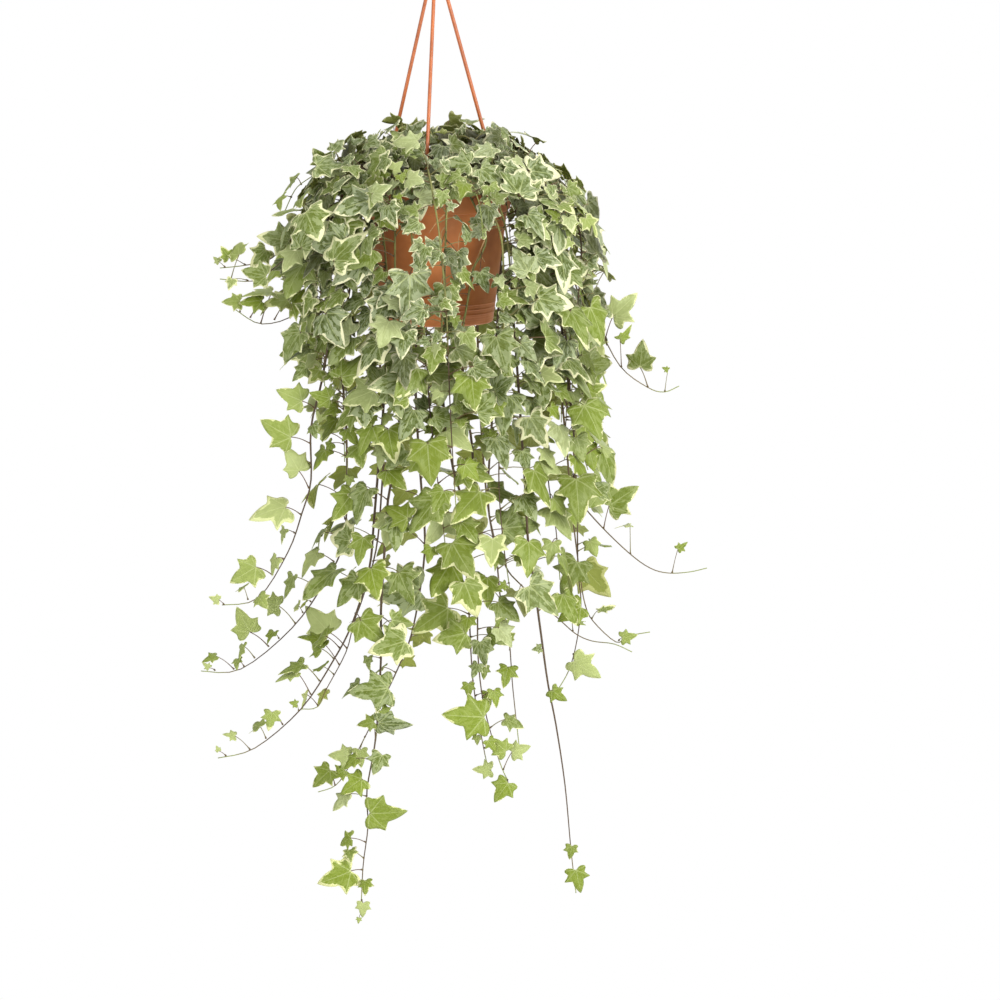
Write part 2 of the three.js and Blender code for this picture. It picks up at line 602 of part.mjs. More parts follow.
// The place on a line, past its arch, that is seen nearest to a sighted foot, and its distance along the line
function footOn(line, across, down) {
  let best = { off: Infinity };
  let length = 0;
  for (let i = 0; i + 1 < line.length; i++) {
    const span = line[i].distanceTo(line[i + 1]);
    if (i >= ARCH_POINTS) {
      const [ax, ay] = seenAt(line[i]);
      const [bx, by] = seenAt(line[i + 1]);
      const [dx, dy] = [bx - ax, by - ay];
      const nearest = ((across - ax) * dx + (down - ay) * dy) / (dx * dx + dy * dy);
      const share = Math.min(0.95, Math.max(0.05, nearest));
      const off = Math.hypot(ax + share * dx - across, ay + share * dy - down);
      if (off < best.off)
        best = { off, place: along(line[i], line[i + 1], share), reached: length + share * span };
    }
    length += span;
  }
  return best;
}

// A stalk joins its blade from behind or below, so a stand that would fold it over has no use
const LEAST_JOIN = 0.3;
function standing(place, joint, midrib, normal, size, form) {
  const stalkDirection = joint.clone().sub(place).normalize();
  if (midrib.clone().add(normal).normalize().dot(stalkDirection) < LEAST_JOIN) return null;
  const across = midrib.clone().cross(normal).normalize();
  return { place, joint, stalkDirection, across, midrib, normal, size, ...form };
}

// How a sighted leaf stands. Each attempt brings it further forward.
const SEEN_FORWARD = 5;
const SEEN_STEP = 3;
function seenStand(place, [, , jointAcross, jointDown, tipAcross, tipDown, tipForward, roll], form, attempt) {
  const forward = -place.y + SEEN_FORWARD + SEEN_STEP * attempt;
  const joint = sighted([jointAcross, jointDown, forward]);
  const midrib = sighted([tipAcross, tipDown, forward + tipForward]).sub(joint);
  const size = midrib.length();
  midrib.divideScalar(size);
  const toEye = vec(0, -Math.cos(EYE_TILT), Math.sin(EYE_TILT));
  const normal = toEye.addScaledVector(midrib, -toEye.dot(midrib)).normalize();
  normal.applyAxisAngle(midrib, radians(roll));
  return standing(place, joint, midrib, normal, size, form);
}

// How strongly a stalk, a blade's face and its midrib lean each way, and how widely the draws spread them
const STALK = { aside: 0.8, outward: 0.15, outwardSteep: 0.45, up: 0.25, upFlat: 0.5, spread: 0.5 };
const STALK_LENGTH = { least: 3, share: 0.5, spread: 0.35, each: 0.07 };
const FACE = { outward: 0.66, up: 0.55, aside: 0.2, front: 0.28, spread: 0.8 };
const FACE_REACH = 80; // nearer the middle than this, faces turn up rather than outward
const MIDRIB = { outward: 0.5, down: 0.75, aside: 0.2, stalk: 0.5, spread: 1.2, twist: 2 };
const SWING = 0.35;
const SWINGS = { outward: 0.2, up: 0.25, twist: 1.4 };

// How any other leaf stands at its site. Each attempt stands it another way.
function ruledStand({ place, forward, size, side, randoms: r }, attempt) {
  const spread = (value, width) => (value - 0.5) * width;
  const up = vec(0, 0, 1);
  const front = vec(0, -1, 0);
  const outward = vec(place.x, place.y, 0).normalize();
  const aside = forward.clone().cross(outward).normalize().multiplyScalar(side);
  const steep = Math.abs(forward.z);
  const swing = SWING * (attempt % 2 ? -(attempt + 1) / 2 : attempt / 2);
  const outwards = STALK.outward + STALK.outwardSteep * steep + SWINGS.outward * swing;
  const upwards = STALK.up + STALK.upFlat * (1 - steep) + SWINGS.up * swing;
  const stalk = vec(0, 0, 0)
    .addScaledVector(aside, STALK.aside + spread(r[0], STALK.spread))
    .addScaledVector(outward, outwards + spread(r[1], STALK.spread))
    .addScaledVector(up, upwards + spread(r[2], STALK.spread))
    .normalize();
  const length = size * (STALK_LENGTH.share + STALK_LENGTH.spread * r[3]) * (1 + STALK_LENGTH.each * attempt);
  const joint = place.clone().addScaledVector(stalk, length + STALK_LENGTH.least);
  const reach = Math.min(1, Math.hypot(place.x, place.y) / FACE_REACH);
  const normal = vec(0, 0, 0)
    .addScaledVector(outward, FACE.outward * reach + spread(r[4], FACE.spread))
    .addScaledVector(up, FACE.up + spread(r[5], FACE.spread))
    .addScaledVector(aside, FACE.aside + spread(r[6], FACE.spread))
    .addScaledVector(front, FACE.front)
    .normalize();
  const midrib = vec(0, 0, 0)
    .addScaledVector(outward, MIDRIB.outward)
    .addScaledVector(up, -MIDRIB.down)
    .addScaledVector(aside, MIDRIB.aside + spread(r[6], MIDRIB.spread))
    .addScaledVector(stalk, MIDRIB.stalk);
  midrib.addScaledVector(normal, -midrib.dot(normal)).normalize();
  midrib.applyAxisAngle(normal, spread(r[7], MIDRIB.twist) + SWINGS.twist * swing);
  return standing(place, joint, midrib, normal, size, leafForm(r[8], r[9], r[0]));
}

// How a blade is folded along its midrib, curled down and cut, from three draws
const FOLD = [-0.11, 0.19];
const CURL = [0.08, 0.32];
const CUT = [0.9, 1.15];
function leafForm(one, two, three) {
  const between = ([low, high], draw) => low + (high - low) * draw;
  return { fold: between(FOLD, one), curl: between(CURL, two), cut: between(CUT, three) };
}

// The outline of one half of a blade, in blade lengths: [across, along, is it a pointed lobe's tip]
const HALF_OUTLINE = [
  [0.44, -0.1, true],
  [0.56, 0.38, true],
  [0.28, 0.48, false],
  [0, 1, true],
];
const BULGE = [0.205, 0.68, false]; // the end lobe's full side, on larger leaves
const LARGE = 45;

// How far a point of the blade stands off its plane, in blade lengths
function lift(x, y, { fold, curl }) {
  return fold * Math.abs(x) - curl * (y * y + 0.5 * x * x);
}

// A leaf as one closed solid: a stalk of three sides that opens into a folded blade
function leaf(plan, thick, spread, stalkRadius) {
  const { joint, stalkDirection, across, midrib, normal, size, cut } = plan;
  const at = ([x, y], off) =>
    joint
      .clone()
      .addScaledVector(across, size * spread * x)
      .addScaledVector(midrib, size * spread * y)
      .addScaledVector(normal, size * lift(x, y, plan) + off);
  const half = HALF_OUTLINE.map(([x, y, tip]) => [tip ? x : x / cut, y, tip]);
  if (size > LARGE) half.splice(3, 0, BULGE);
  const mirrored = half
    .slice(0, -1)
    .reverse()
    .map(([x, y, tip]) => [-x, y, tip]);
  const side = across.clone().addScaledVector(stalkDirection, -across.dot(stalkDirection)).normalize();
  const top = side.clone().cross(stalkDirection);
  const points = [];
  const add = (point) => points.push(point) - 1;
  const offset = (point, right, forward, up, axes) =>
    add(
      point
        .clone()
        .addScaledVector(axes[0], right)
        .addScaledVector(axes[1], forward)
        .addScaledVector(axes[2], up),
    );
  const blade = [across, midrib, normal];
  const r = stalkRadius;
  const a = offset(joint, 0, -r, thick / 2, blade);
  const b = offset(joint, -r, r / 2, -thick / 2, blade);
  const c = offset(joint, r, r / 2, -thick / 2, blade);
  const stalk = [side, stalkDirection, top];
  const a0 = offset(plan.place, 0, 0, r, stalk);
  const b0 = offset(plan.place, -r * 0.87, 0, -r / 2, stalk);
  const c0 = offset(plan.place, r * 0.87, 0, -r / 2, stalk);
  const edge = [...half, ...mirrored].map(([x, y, tip]) => {
    if (tip) {
      const point = add(at([x, y], 0));
      return { above: point, below: point };
    }
    return { above: add(at([x, y], thick / 2)), below: add(at([x, y], -thick / 2)) };
  });
  const tipAt = half.length - 1;
  const corners = [[b, edge[tipAt].below, c]];
  for (let i = 0; i + 1 < edge.length; i++) {
    const [from, to] = [edge[i], edge[i + 1]];
    corners.push([a, from.above, to.above], [i < tipAt ? c : b, to.below, from.below]);
    if (from.above === from.below && to.above === to.below) continue;
    if (from.above === from.below) corners.push([to.above, from.above, to.below]);
    else if (to.above === to.below) corners.push([to.above, from.above, from.below]);
    else corners.push([to.above, from.above, from.below], [to.above, from.below, to.below]);
  }
  const [first, last] = [edge[0].above, edge[edge.length - 1].above];
  corners.push([first, a, c], [a, last, b]);
  corners.push([a, b, b0], [a, b0, a0], [b, c, c0], [b, c0, b0], [c, a, a0], [c, a0, c0], [a0, b0, c0]);
  return facets(points, corners);
}

// Everything placed so far, in small pieces, to keep new pieces clear of it
const placed = [];
function place(shape, stem) {
  placed.push({ shape, stem, box: shape.boundingBox() });
}
function overlaps(one, two) {
  return [0, 1, 2].every((i) => one.min[i] < two.max[i] && two.min[i] < one.max[i]);
}
function isClear(shape, ownStem) {
  const box = shape.boundingBox();
  return placed.every(
    (other) =>
      (ownStem && other.stem === ownStem) ||
      !overlaps(box, other.box) ||
      other.shape.intersect(shape).isEmpty(),
  );
}

// The crown is a low dome, which falls away from its middle. Over it the space between the legs is clear.
const CROWN_TOP = RIM_Z + 86;
const CROWN_FLAT = 8;
const CROWN_SLOPE = 0.66;
const CLEAR_RADIUS = 26;
function underDome(point) {
  return point.z < CROWN_TOP - CROWN_SLOPE * Math.max(0, Math.hypot(point.x, point.y) - CROWN_FLAT);
}

// The seen boxes, [left, top, right, bottom], in which the pot shows between the leaves, and how far forward
// of the pot's middle a leaf is in front of it
const POT_SHOWS = [
  [414, 270, 437, 298],
  [462, 288, 496, 325],
  [422, 208, 447, 245],
  [450, 222, 460, 250],
  [461, 196, 480, 217],
  [487, 228, 497, 275],
  [497, 208, 514, 265],
  [382, 232, 405, 272],
  [404, 191, 420, 197],
  [465, 247, 485, 270],
  [425, 318, 447, 326],
];
const POT_FRONT = 40;
function hidesPot(point) {
  if (point.y > -POT_FRONT) return false;
  const [across, down] = seenAt(point);
  return POT_SHOWS.some(
    ([left, top, right, bottom]) => across > left && across < right && down > top && down < bottom,
  );
}

// The points of a blade that are tried against the dome and the pot, in blade lengths
const TRIED = [
  [0, 0.05],
  [0, 0.5],
  [0, 1],
  [0.56, 0.38],
  [-0.56, 0.38],
  [0.44, -0.1],
  [-0.44, -0.1],
  [0.28, 0.2],
  [-0.28, 0.2],
  [0.17, 0.68],
  [-0.17, 0.68],
];
function isWelcome(plan) {
  return TRIED.every(([x, y]) => {
    const point = plan.joint
      .clone()
      .addScaledVector(plan.across, plan.size * x)
      .addScaledVector(plan.midrib, plan.size * y);
    return underDome(point) && !hidesPot(point);
  });
}

// A stem's line, pushed outwards and a little aside until it passes clear of the stems before it
const ROOT_POINTS = 4;
const PUSH_OUT = 2.2;
const PUSH_ASIDE = radians(0.5);
const STEM_CLEARANCE = 0.8;
const STEM_ROOM = 0.3; // kept clear round a stem that is placed
function clearLine(stem) {
  for (let attempt = 0; attempt < 2 * ATTEMPTS; attempt++) {
    const aside = (attempt % 2 ? 1 : -1) * attempt * PUSH_ASIDE;
    const points = stem.points.map((point, i) => {
      if (i < ROOT_POINTS) return point;
      const ease = Math.min(1, (i - ROOT_POINTS + 1) / 3);
      const outward = vec(point.x, point.y, 0).normalize();
      return point
        .clone()
        .addScaledVector(outward, PUSH_OUT * attempt * ease)
        .applyAxisAngle(vec(0, 0, 1), aside * ease);
    });
    const line = smoothLine(points);
    const pieces = [];
    for (let i = 0; i + 1 < line.length; i += 2) pieces.push(line.slice(i, i + 3));
    if (pieces.every((piece) => isClear(rod(piece, STEM_RADIUS + STEM_CLEARANCE)))) return line;
  }
  throw new Error(stem.name + " finds no clear way");
}

// The joined shape as one body, without the crumbs that joining can leave
const CRUMB = 0.01; // cubic millimetres
function whole(shape, name) {
  const bodies = shape.decompose().sort((one, two) => two.volume() - one.volume());
  if (bodies.length > 1 && bodies[1].volume() > CRUMB) throw new Error(name + " is in pieces");
  return bodies[0];
}

// Places a leaf in the first of its stands that is clear, and adds it to its stem's shape. A guard with a
// thicker, wider blade and a stouter stalk keeps some room round it.
const GUARD_FOOT = 2.2; // stem radii from the stem's middle
const GUARD_STALK = 1.6;
function addLeaf(stem, stands, isAllowed) {
  for (const plan of stands) {
    if (!plan || !isAllowed(plan)) continue;
    const foot = plan.place.clone().addScaledVector(plan.stalkDirection, STEM_RADIUS * GUARD_FOOT);
    const guard = leaf({ ...plan, place: foot }, GUARD_THICK, GUARD_SPREAD, PETIOLE_RADIUS * GUARD_STALK);
    if (guard.boundingBox().max[2] > CROWN_TOP || !isClear(guard)) continue;
    const made = leaf(plan, BLADE_THICK, 1, PETIOLE_RADIUS);
    if (!isClear(made, stem)) continue;
    place(made, stem);
    stem.shape = stem.shape.add(made);
    return;
  }
}

function addSeenLeaves(stem) {
  const draw = draws(SEEN_SEED + stem.index);
  stem.feet = [];
  for (const seen of stem.leaves) {
    const foot = footOn(stem.line, seen[0], seen[1]);
    const form = leafForm(draw(), draw(), draw());
    stem.feet.push(foot.reached);
    const stands = Array.from({ length: ATTEMPTS }, (_, k) => seenStand(foot.place, seen, form, k));
    addLeaf(stem, stands, () => true);
  }
}

function addRuledLeaves(stem) {
  for (const site of sites(stem)) {
    const stands = Array.from({ length: ATTEMPTS }, (_, k) => ruledStand(site, k));
    addLeaf(stem, stands, isWelcome);
  }
}

function build() {
  const plant = new THREE.Group();
  const stems = [
    ...FOLLOWED.map(followedStem),
    ...SKIRT_SLOTS.map(skirtStem),
    ...CROWN_RINGS.flatMap((ring, n) =>
      Array.from({ length: ring.count }, (_, k) => crownStem(ring, k, n * CROWN_RINGS[0].count + k)),
    ),
  ];
  const potShape = pot();
  const hangerShape = hanger();
  place(potShape);
  place(hangerShape);
  place(bar(vec(0, 0, CROWN_TOP), vec(0, 0, COLLAR_Z), CLEAR_RADIUS, 12));
  for (const stem of stems) {
    stem.line = clearLine(stem);
    stem.shape = rod(stem.line, STEM_RADIUS);
    for (let i = 0; i + 1 < stem.line.length; i += 2)
      place(rod(stem.line.slice(i, i + 3), STEM_RADIUS + STEM_ROOM), stem);
  }
  const soilShape = soil(stems.map((stem) => vec(stem.line[0].x, stem.line[0].y, stem.line[0].z - GAP)));
  place(soilShape);
  stems.forEach(addSeenLeaves);
  stems.forEach(addRuledLeaves);
  const planter = new THREE.Group();
  planter.add(named("pot", potShape, colours.pot));
  planter.add(named("hanger", hangerShape, colours.hanger));
  planter.add(named("soil", soilShape, colours.soil));
  const ivy = new THREE.Group();
  for (const stem of stems) ivy.add(named(stem.name, whole(stem.shape, stem.name), colours.leaf));
  plant.add(planter, ivy);
  return plant;
}

export default build();
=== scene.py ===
"""Potted variegated english ivy on a three-legged hanger: its fine model, finishes, light and view.

Lengths are in millimetres, +Z up, with -Y towards the viewer, and turn into metres as each mesh is made.
"""

from __future__ import annotations

import logging
import math
from collections import defaultdict
from collections.abc import Callable, Iterable, Iterator, Sequence
from dataclasses import dataclass, field
from enum import Enum
from functools import partial
from itertools import accumulate, combinations, product

import bpy
import numpy as np
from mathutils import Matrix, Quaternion, Vector
from mathutils.bvhtree import BVHTree
from mathutils.kdtree import KDTree

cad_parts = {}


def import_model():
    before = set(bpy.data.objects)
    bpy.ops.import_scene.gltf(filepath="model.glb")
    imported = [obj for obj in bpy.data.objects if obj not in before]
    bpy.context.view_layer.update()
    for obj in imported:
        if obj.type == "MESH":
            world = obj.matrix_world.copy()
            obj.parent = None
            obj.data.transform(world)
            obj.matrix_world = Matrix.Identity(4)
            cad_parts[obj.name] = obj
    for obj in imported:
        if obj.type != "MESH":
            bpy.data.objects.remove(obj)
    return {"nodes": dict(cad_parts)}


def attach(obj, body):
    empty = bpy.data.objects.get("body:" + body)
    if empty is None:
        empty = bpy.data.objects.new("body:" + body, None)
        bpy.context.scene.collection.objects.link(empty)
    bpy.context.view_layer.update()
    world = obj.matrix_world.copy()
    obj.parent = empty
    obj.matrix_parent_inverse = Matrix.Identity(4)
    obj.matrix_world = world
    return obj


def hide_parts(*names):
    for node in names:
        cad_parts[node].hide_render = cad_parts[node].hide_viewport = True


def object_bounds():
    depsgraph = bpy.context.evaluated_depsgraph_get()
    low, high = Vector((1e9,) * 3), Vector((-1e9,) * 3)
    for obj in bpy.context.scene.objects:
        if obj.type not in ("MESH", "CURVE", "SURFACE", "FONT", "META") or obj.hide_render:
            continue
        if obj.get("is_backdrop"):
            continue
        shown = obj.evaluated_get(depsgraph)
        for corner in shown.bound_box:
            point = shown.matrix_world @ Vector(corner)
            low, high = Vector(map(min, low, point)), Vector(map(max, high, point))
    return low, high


LOG = logging.getLogger("ivy")
MM = 0.001
UP = Vector((0.0, 0.0, 1.0))

Socket = bpy.types.NodeSocket
Face = tuple[int, ...]
Colour = tuple[float, float, float, float]
Bar = tuple[Vector, Vector, float, int]
WHITE: Colour = (1.0, 1.0, 1.0, 1.0)

# The pot, its soil and the height that all of it hangs at
RIM_Z = -283.0
RIM_RADIUS = 75.0
RIM_BAND = 24.0
NECK_RADIUS = RIM_RADIUS - 5.0
POT_HEIGHT = 136.0
BASE_Z = RIM_Z - POT_HEIGHT
FOOT_RADIUS = 56.0
FOOT_RISE = 2.5
WALL = 2.2
BASE_THICK = 2.6
FLOOR_Z = BASE_Z + FOOT_RISE + BASE_THICK
SOIL_Z = RIM_Z - 15.0
SOIL_MOUND = 5.0
GAP = 0.4

# The hanger
HOOK_BORE = 15.0
HOOK_THICK = 2.6
COLLAR_Z = -66.0
COLLAR_RADIUS = 6.0
LEG_RADIUS = 1.9
LEG_ANGLES = (261.8, 141.8, 21.8)
LEG_FOOT_RADIUS = 68.6
PEG_Z = RIM_Z - 10.0
PEG_RADIUS = 1.8
PEG_LENGTH = 2.4
PEG_HOLE_RADIUS = 2.3
BUTTON_RADIUS = 4.2
CROWN_TOP = RIM_Z + 86.0

# The eye that the free-hanging stems were sighted from, in real sizes
EYE_DISTANCE = 4000.0
EYE_TILT = math.radians(9.0)
EYE_COS = math.cos(EYE_TILT)
EYE_SIN = math.sin(EYE_TILT)
TO_EYE = Vector((0, -EYE_COS, EYE_SIN))
SIGHT_CENTRE = 500.0
POT_ACROSS = 437.0
RIM_DOWN = 184.0
AIM_X = SIGHT_CENTRE - POT_ACROSS
AIM_Z = RIM_Z + RIM_DOWN - SIGHT_CENTRE
VIEW_WIDTH = 1000.0
SENSOR = 36.0

# How far under a blade's joint its rays are drawn from, in blade lengths
RAY_DROP = 0.16


def srgb(red: int, green: int, blue: int) -> Colour:
    """A colour as seen on a screen, from 0 to 255, as the linear colour that a shader takes.

    Args:
        red: Red, 0 to 255.
        green: Green, 0 to 255.
        blue: Blue, 0 to 255.

    Returns:
        Linear red, green, blue and an alpha of 1.
    """
    shares = [level / 255 for level in (red, green, blue)]
    linear = [share / 12.92 if share <= 0.04045 else ((share + 0.055) / 1.055) ** 2.4 for share in shares]
    return (*linear, 1.0)


def polar(radius: float, degrees: float, z: float) -> Vector:
    """A point at a radius and an angle round the pot's axis."""
    turn = math.radians(degrees)
    return Vector((radius * math.cos(turn), radius * math.sin(turn), z))


def smoothstep(low: float, high: float, value: float) -> float:
    """A smooth rise from 0 at low to 1 at high."""
    share = min(1.0, max(0.0, (value - low) / (high - low)))
    return share * share * (3 - 2 * share)


class Draws:
    """A seeded draw of numbers from 0 to 1, the same on every machine."""

    WORD = 0xFFFFFFFF
    STEP = 0x6D2B79F5

    def __init__(self, seed: int) -> None:
        """Start the draw at a seed."""
        self.state = seed & self.WORD

    def __call__(self) -> float:
        """The next number."""
        self.state = (self.state + self.STEP) & self.WORD
        mixed = ((self.state ^ (self.state >> 15)) * (self.state | 1)) & self.WORD
        mixed ^= (mixed + (((mixed ^ (mixed >> 7)) * (mixed | 61)) & self.WORD)) & self.WORD
        return ((mixed ^ (mixed >> 14)) & self.WORD) / (self.WORD + 1)

    def between(self, low: float, high: float) -> float:
        """The next number, spread from low to high."""
        return low + (high - low) * self()

    def several(self, count: int) -> list[float]:
        """The next few numbers."""
        return [self() for _ in range(count)]


# Meshes


@dataclass
class MeshParts:
    """Corners, faces and per-corner values of a mesh in the making, in millimetres."""

    points: list[np.ndarray] = field(default_factory=list)
    faces: list[Face] = field(default_factory=list)
    flat: list[bool] = field(default_factory=list)
    values: dict[str, list[np.ndarray]] = field(default_factory=lambda: defaultdict(list))
    count: int = 0

    def add(self, points: np.ndarray, faces: Sequence[Face], flat: Sequence[bool] | bool = False,
            **values: np.ndarray) -> None:
        """Add a patch of surface.

        Args:
            points: The patch's corners, one row each.
            faces: Its faces, as corner numbers within the patch.
            flat: Whether its faces are flat-shaded, for all or for each.
            values: One row for each corner, by the name of the attribute.
        """
        self.points.append(np.asarray(points, dtype=float))
        self.faces.extend(tuple(self.count + corner for corner in face) for face in faces)
        self.flat.extend([flat] * len(faces) if isinstance(flat, bool) else flat)
        for name, rows in values.items():
            self.values[name].append(np.asarray(rows, dtype=float))
        self.count += len(points)

    def piece(self, name: str, material: bpy.types.Material, crease: float = 0.0) -> bpy.types.Object:
        """The finished object.

        Args:
            name: The piece's name.
            material: Its finish.
            crease: The angle in degrees past which an edge stays sharp, or 0 for none.

        Returns:
            A mesh object in the scene, in metres.
        """
        mesh = bpy.data.meshes.new(name)
        mesh.from_pydata((np.concatenate(self.points) * MM).tolist(), [], self.faces)
        mesh.polygons.foreach_set("use_smooth", [not flat for flat in self.flat])
        for title, rows in self.values.items():
            stacked = np.concatenate(rows)
            if title == "leaf_plane":
                corners = np.empty(len(mesh.loops), dtype=np.int32)
                mesh.loops.foreach_get("vertex_index", corners)
                layer = mesh.uv_layers.new(name=title)
                layer.data.foreach_set("uv", stacked[corners].ravel())
            else:
                layer = mesh.attributes.new(title, "FLOAT_COLOR", "POINT")
                layer.data.foreach_set("color", stacked.ravel())
        mesh.materials.append(material)
        mesh.update()
        if crease:
            mesh.set_sharp_from_angle(angle=math.radians(crease))
        made = bpy.data.objects.new(name, mesh)
        bpy.context.scene.collection.objects.link(made)
        return made


def circle(radius: float, sides: int, z: float = 0.0) -> list[tuple[float, float, float]]:
    """The corners of a level ring round the Z axis."""
    turns = [2 * math.pi * k / sides for k in range(sides)]
    return [(radius * math.cos(turn), radius * math.sin(turn), z) for turn in turns]


def ring_walls(first: int, rings: int, sides: int) -> list[Face]:
    """The four-cornered faces between rings of corners that follow each other.

    Args:
        first: The number of the first ring's first corner.
        rings: How many rings there are.
        sides: How many corners each ring has.

    Returns:
        The faces, which look outwards where the rings run upwards.
    """
    faces: list[Face] = []
    for start in range(first, first + (rings - 1) * sides, sides):
        for j in range(sides):
            a, b = start + j, start + (j + 1) % sides
            faces.append((a, b, b + sides, a + sides))
    return faces


def ring_cap(tip: int, first: int, sides: int, upper: bool) -> list[Face]:
    """The triangles from a ring of corners to the tip that closes it, which may lie above the ring."""
    edges = [(first + j, first + (j + 1) % sides) for j in range(sides)]
    return [(tip, a, b) if upper else (tip, b, a) for a, b in edges]


def frames_along(points: Sequence[Vector]) -> list[tuple[Vector, Vector]]:
    """Two directions across a line at each of its points, carried along it without twist.

    Args:
        points: The line.

    Returns:
        The two directions at each point.
    """
    made: list[tuple[Vector, Vector]] = []
    across: Vector | None = None
    for number, _ in enumerate(points):
        forward = (points[min(number + 1, len(points) - 1)] - points[max(number - 1, 0)]).normalized()
        if across is None:
            across = Vector((1, 0, 0)) if abs(forward.x) < 0.8 else Vector((0, 1, 0))
        across = (across - forward * across.dot(forward)).normalized()
        made.append((across.copy(), forward.cross(across)))
    return made


def sweep(parts: MeshParts, points: Sequence[Vector], radii: Sequence[float], sides: int,
          kind: Callable[[float], Colour] | Colour | None = None) -> None:
    """Add a round rod with closed ends along a line.

    Args:
        parts: The mesh that it joins.
        points: The line.
        radii: The radius at each point.
        sides: How many sides the rod has.
        kind: The sort of stem that it is, for all of it or for each share of its length.
    """
    ring = circle(1.0, sides)
    rows = [
        point + across * (radius * c) + aside * (radius * s)
        for point, radius, (across, aside) in zip(points, radii, frames_along(points))
        for c, s, _ in ring
    ]
    rows += [points[0], points[-1]]
    last, end = len(points) - 1, len(rows) - 1
    faces = (ring_walls(0, len(points), sides) + ring_cap(end - 1, 0, sides, False)
             + ring_cap(end, last * sides, sides, True))
    values = {}
    if kind is not None:
        shares = [k / last for k in range(last + 1) for _ in range(sides)] + [0.0, 1.0]
        values["stem_kind"] = np.array([kind(share) if callable(kind) else kind for share in shares])
    parts.add(np.array([tuple(row) for row in rows]), faces, **values)


def turn_profile(parts: MeshParts, profile: Sequence[tuple[float, float]], sides: int,
                 place: Vector | None = None, axis: Vector = UP) -> None:
    """Add a solid turned about an axis.

    Args:
        parts: The mesh that it joins.
        profile: Radius and length along the axis, with the first and last point on the axis.
        sides: How many sides the solid has.
        place: Where the length is zero, or nothing for the origin.
        axis: The direction of the axis, where a place is given.
    """
    rows = [(0.0, 0.0, profile[0][1])]
    for radius, z in profile[1:-1]:
        rows += circle(radius, sides, z)
    rows.append((0.0, 0.0, profile[-1][1]))
    top = len(rows) - 1
    faces = (ring_cap(0, 1, sides, False) + ring_walls(1, len(profile) - 2, sides)
             + ring_cap(top, top - sides, sides, True))
    if place is not None:
        turn = UP.rotation_difference(axis)
        rows = [tuple(place + turn @ Vector(row)) for row in rows]
    parts.add(np.array(rows), faces)


def cut_holes(piece: bpy.types.Object, bars: Sequence[Bar], crease: float) -> None:
    """Cut straight round bars out of a piece.

    Args:
        piece: The piece.
        bars: Each bar's ends, radius and number of sides.
        crease: The angle in degrees past which an edge of the piece stays sharp.
    """
    plain = bpy.data.materials.new("cutter")
    cutters = []
    for number, (start, end, radius, sides) in enumerate(bars):
        parts = MeshParts()
        sweep(parts, [start, end], [radius, radius], sides)
        cutters.append(parts.piece(f"cutter_{number}", plain))
    for cutter in cutters:
        step = piece.modifiers.new("hole", "BOOLEAN")
        step.operation = "DIFFERENCE"
        step.solver = "EXACT"
        step.object = cutter
    dressed = piece.evaluated_get(bpy.context.evaluated_depsgraph_get())
    done = bpy.data.meshes.new_from_object(dressed)
    piece.modifiers.clear()
    finish = piece.data.materials[0]
    piece.data = done
    done.materials.clear()
    done.materials.append(finish)
    done.set_sharp_from_angle(angle=math.radians(crease))
    for cutter in cutters:
        bpy.data.objects.remove(cutter)


def keep(piece: bpy.types.Object, node: str) -> None:
    """Put a piece on the part, in the place of a CAD node.

    Args:
        piece: The piece.
        node: The node that it stands for.
    """
    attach(piece, "root")
    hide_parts(node)
    LOG.info("%s: %d faces", piece.name, len(piece.data.polygons))


# Finishes


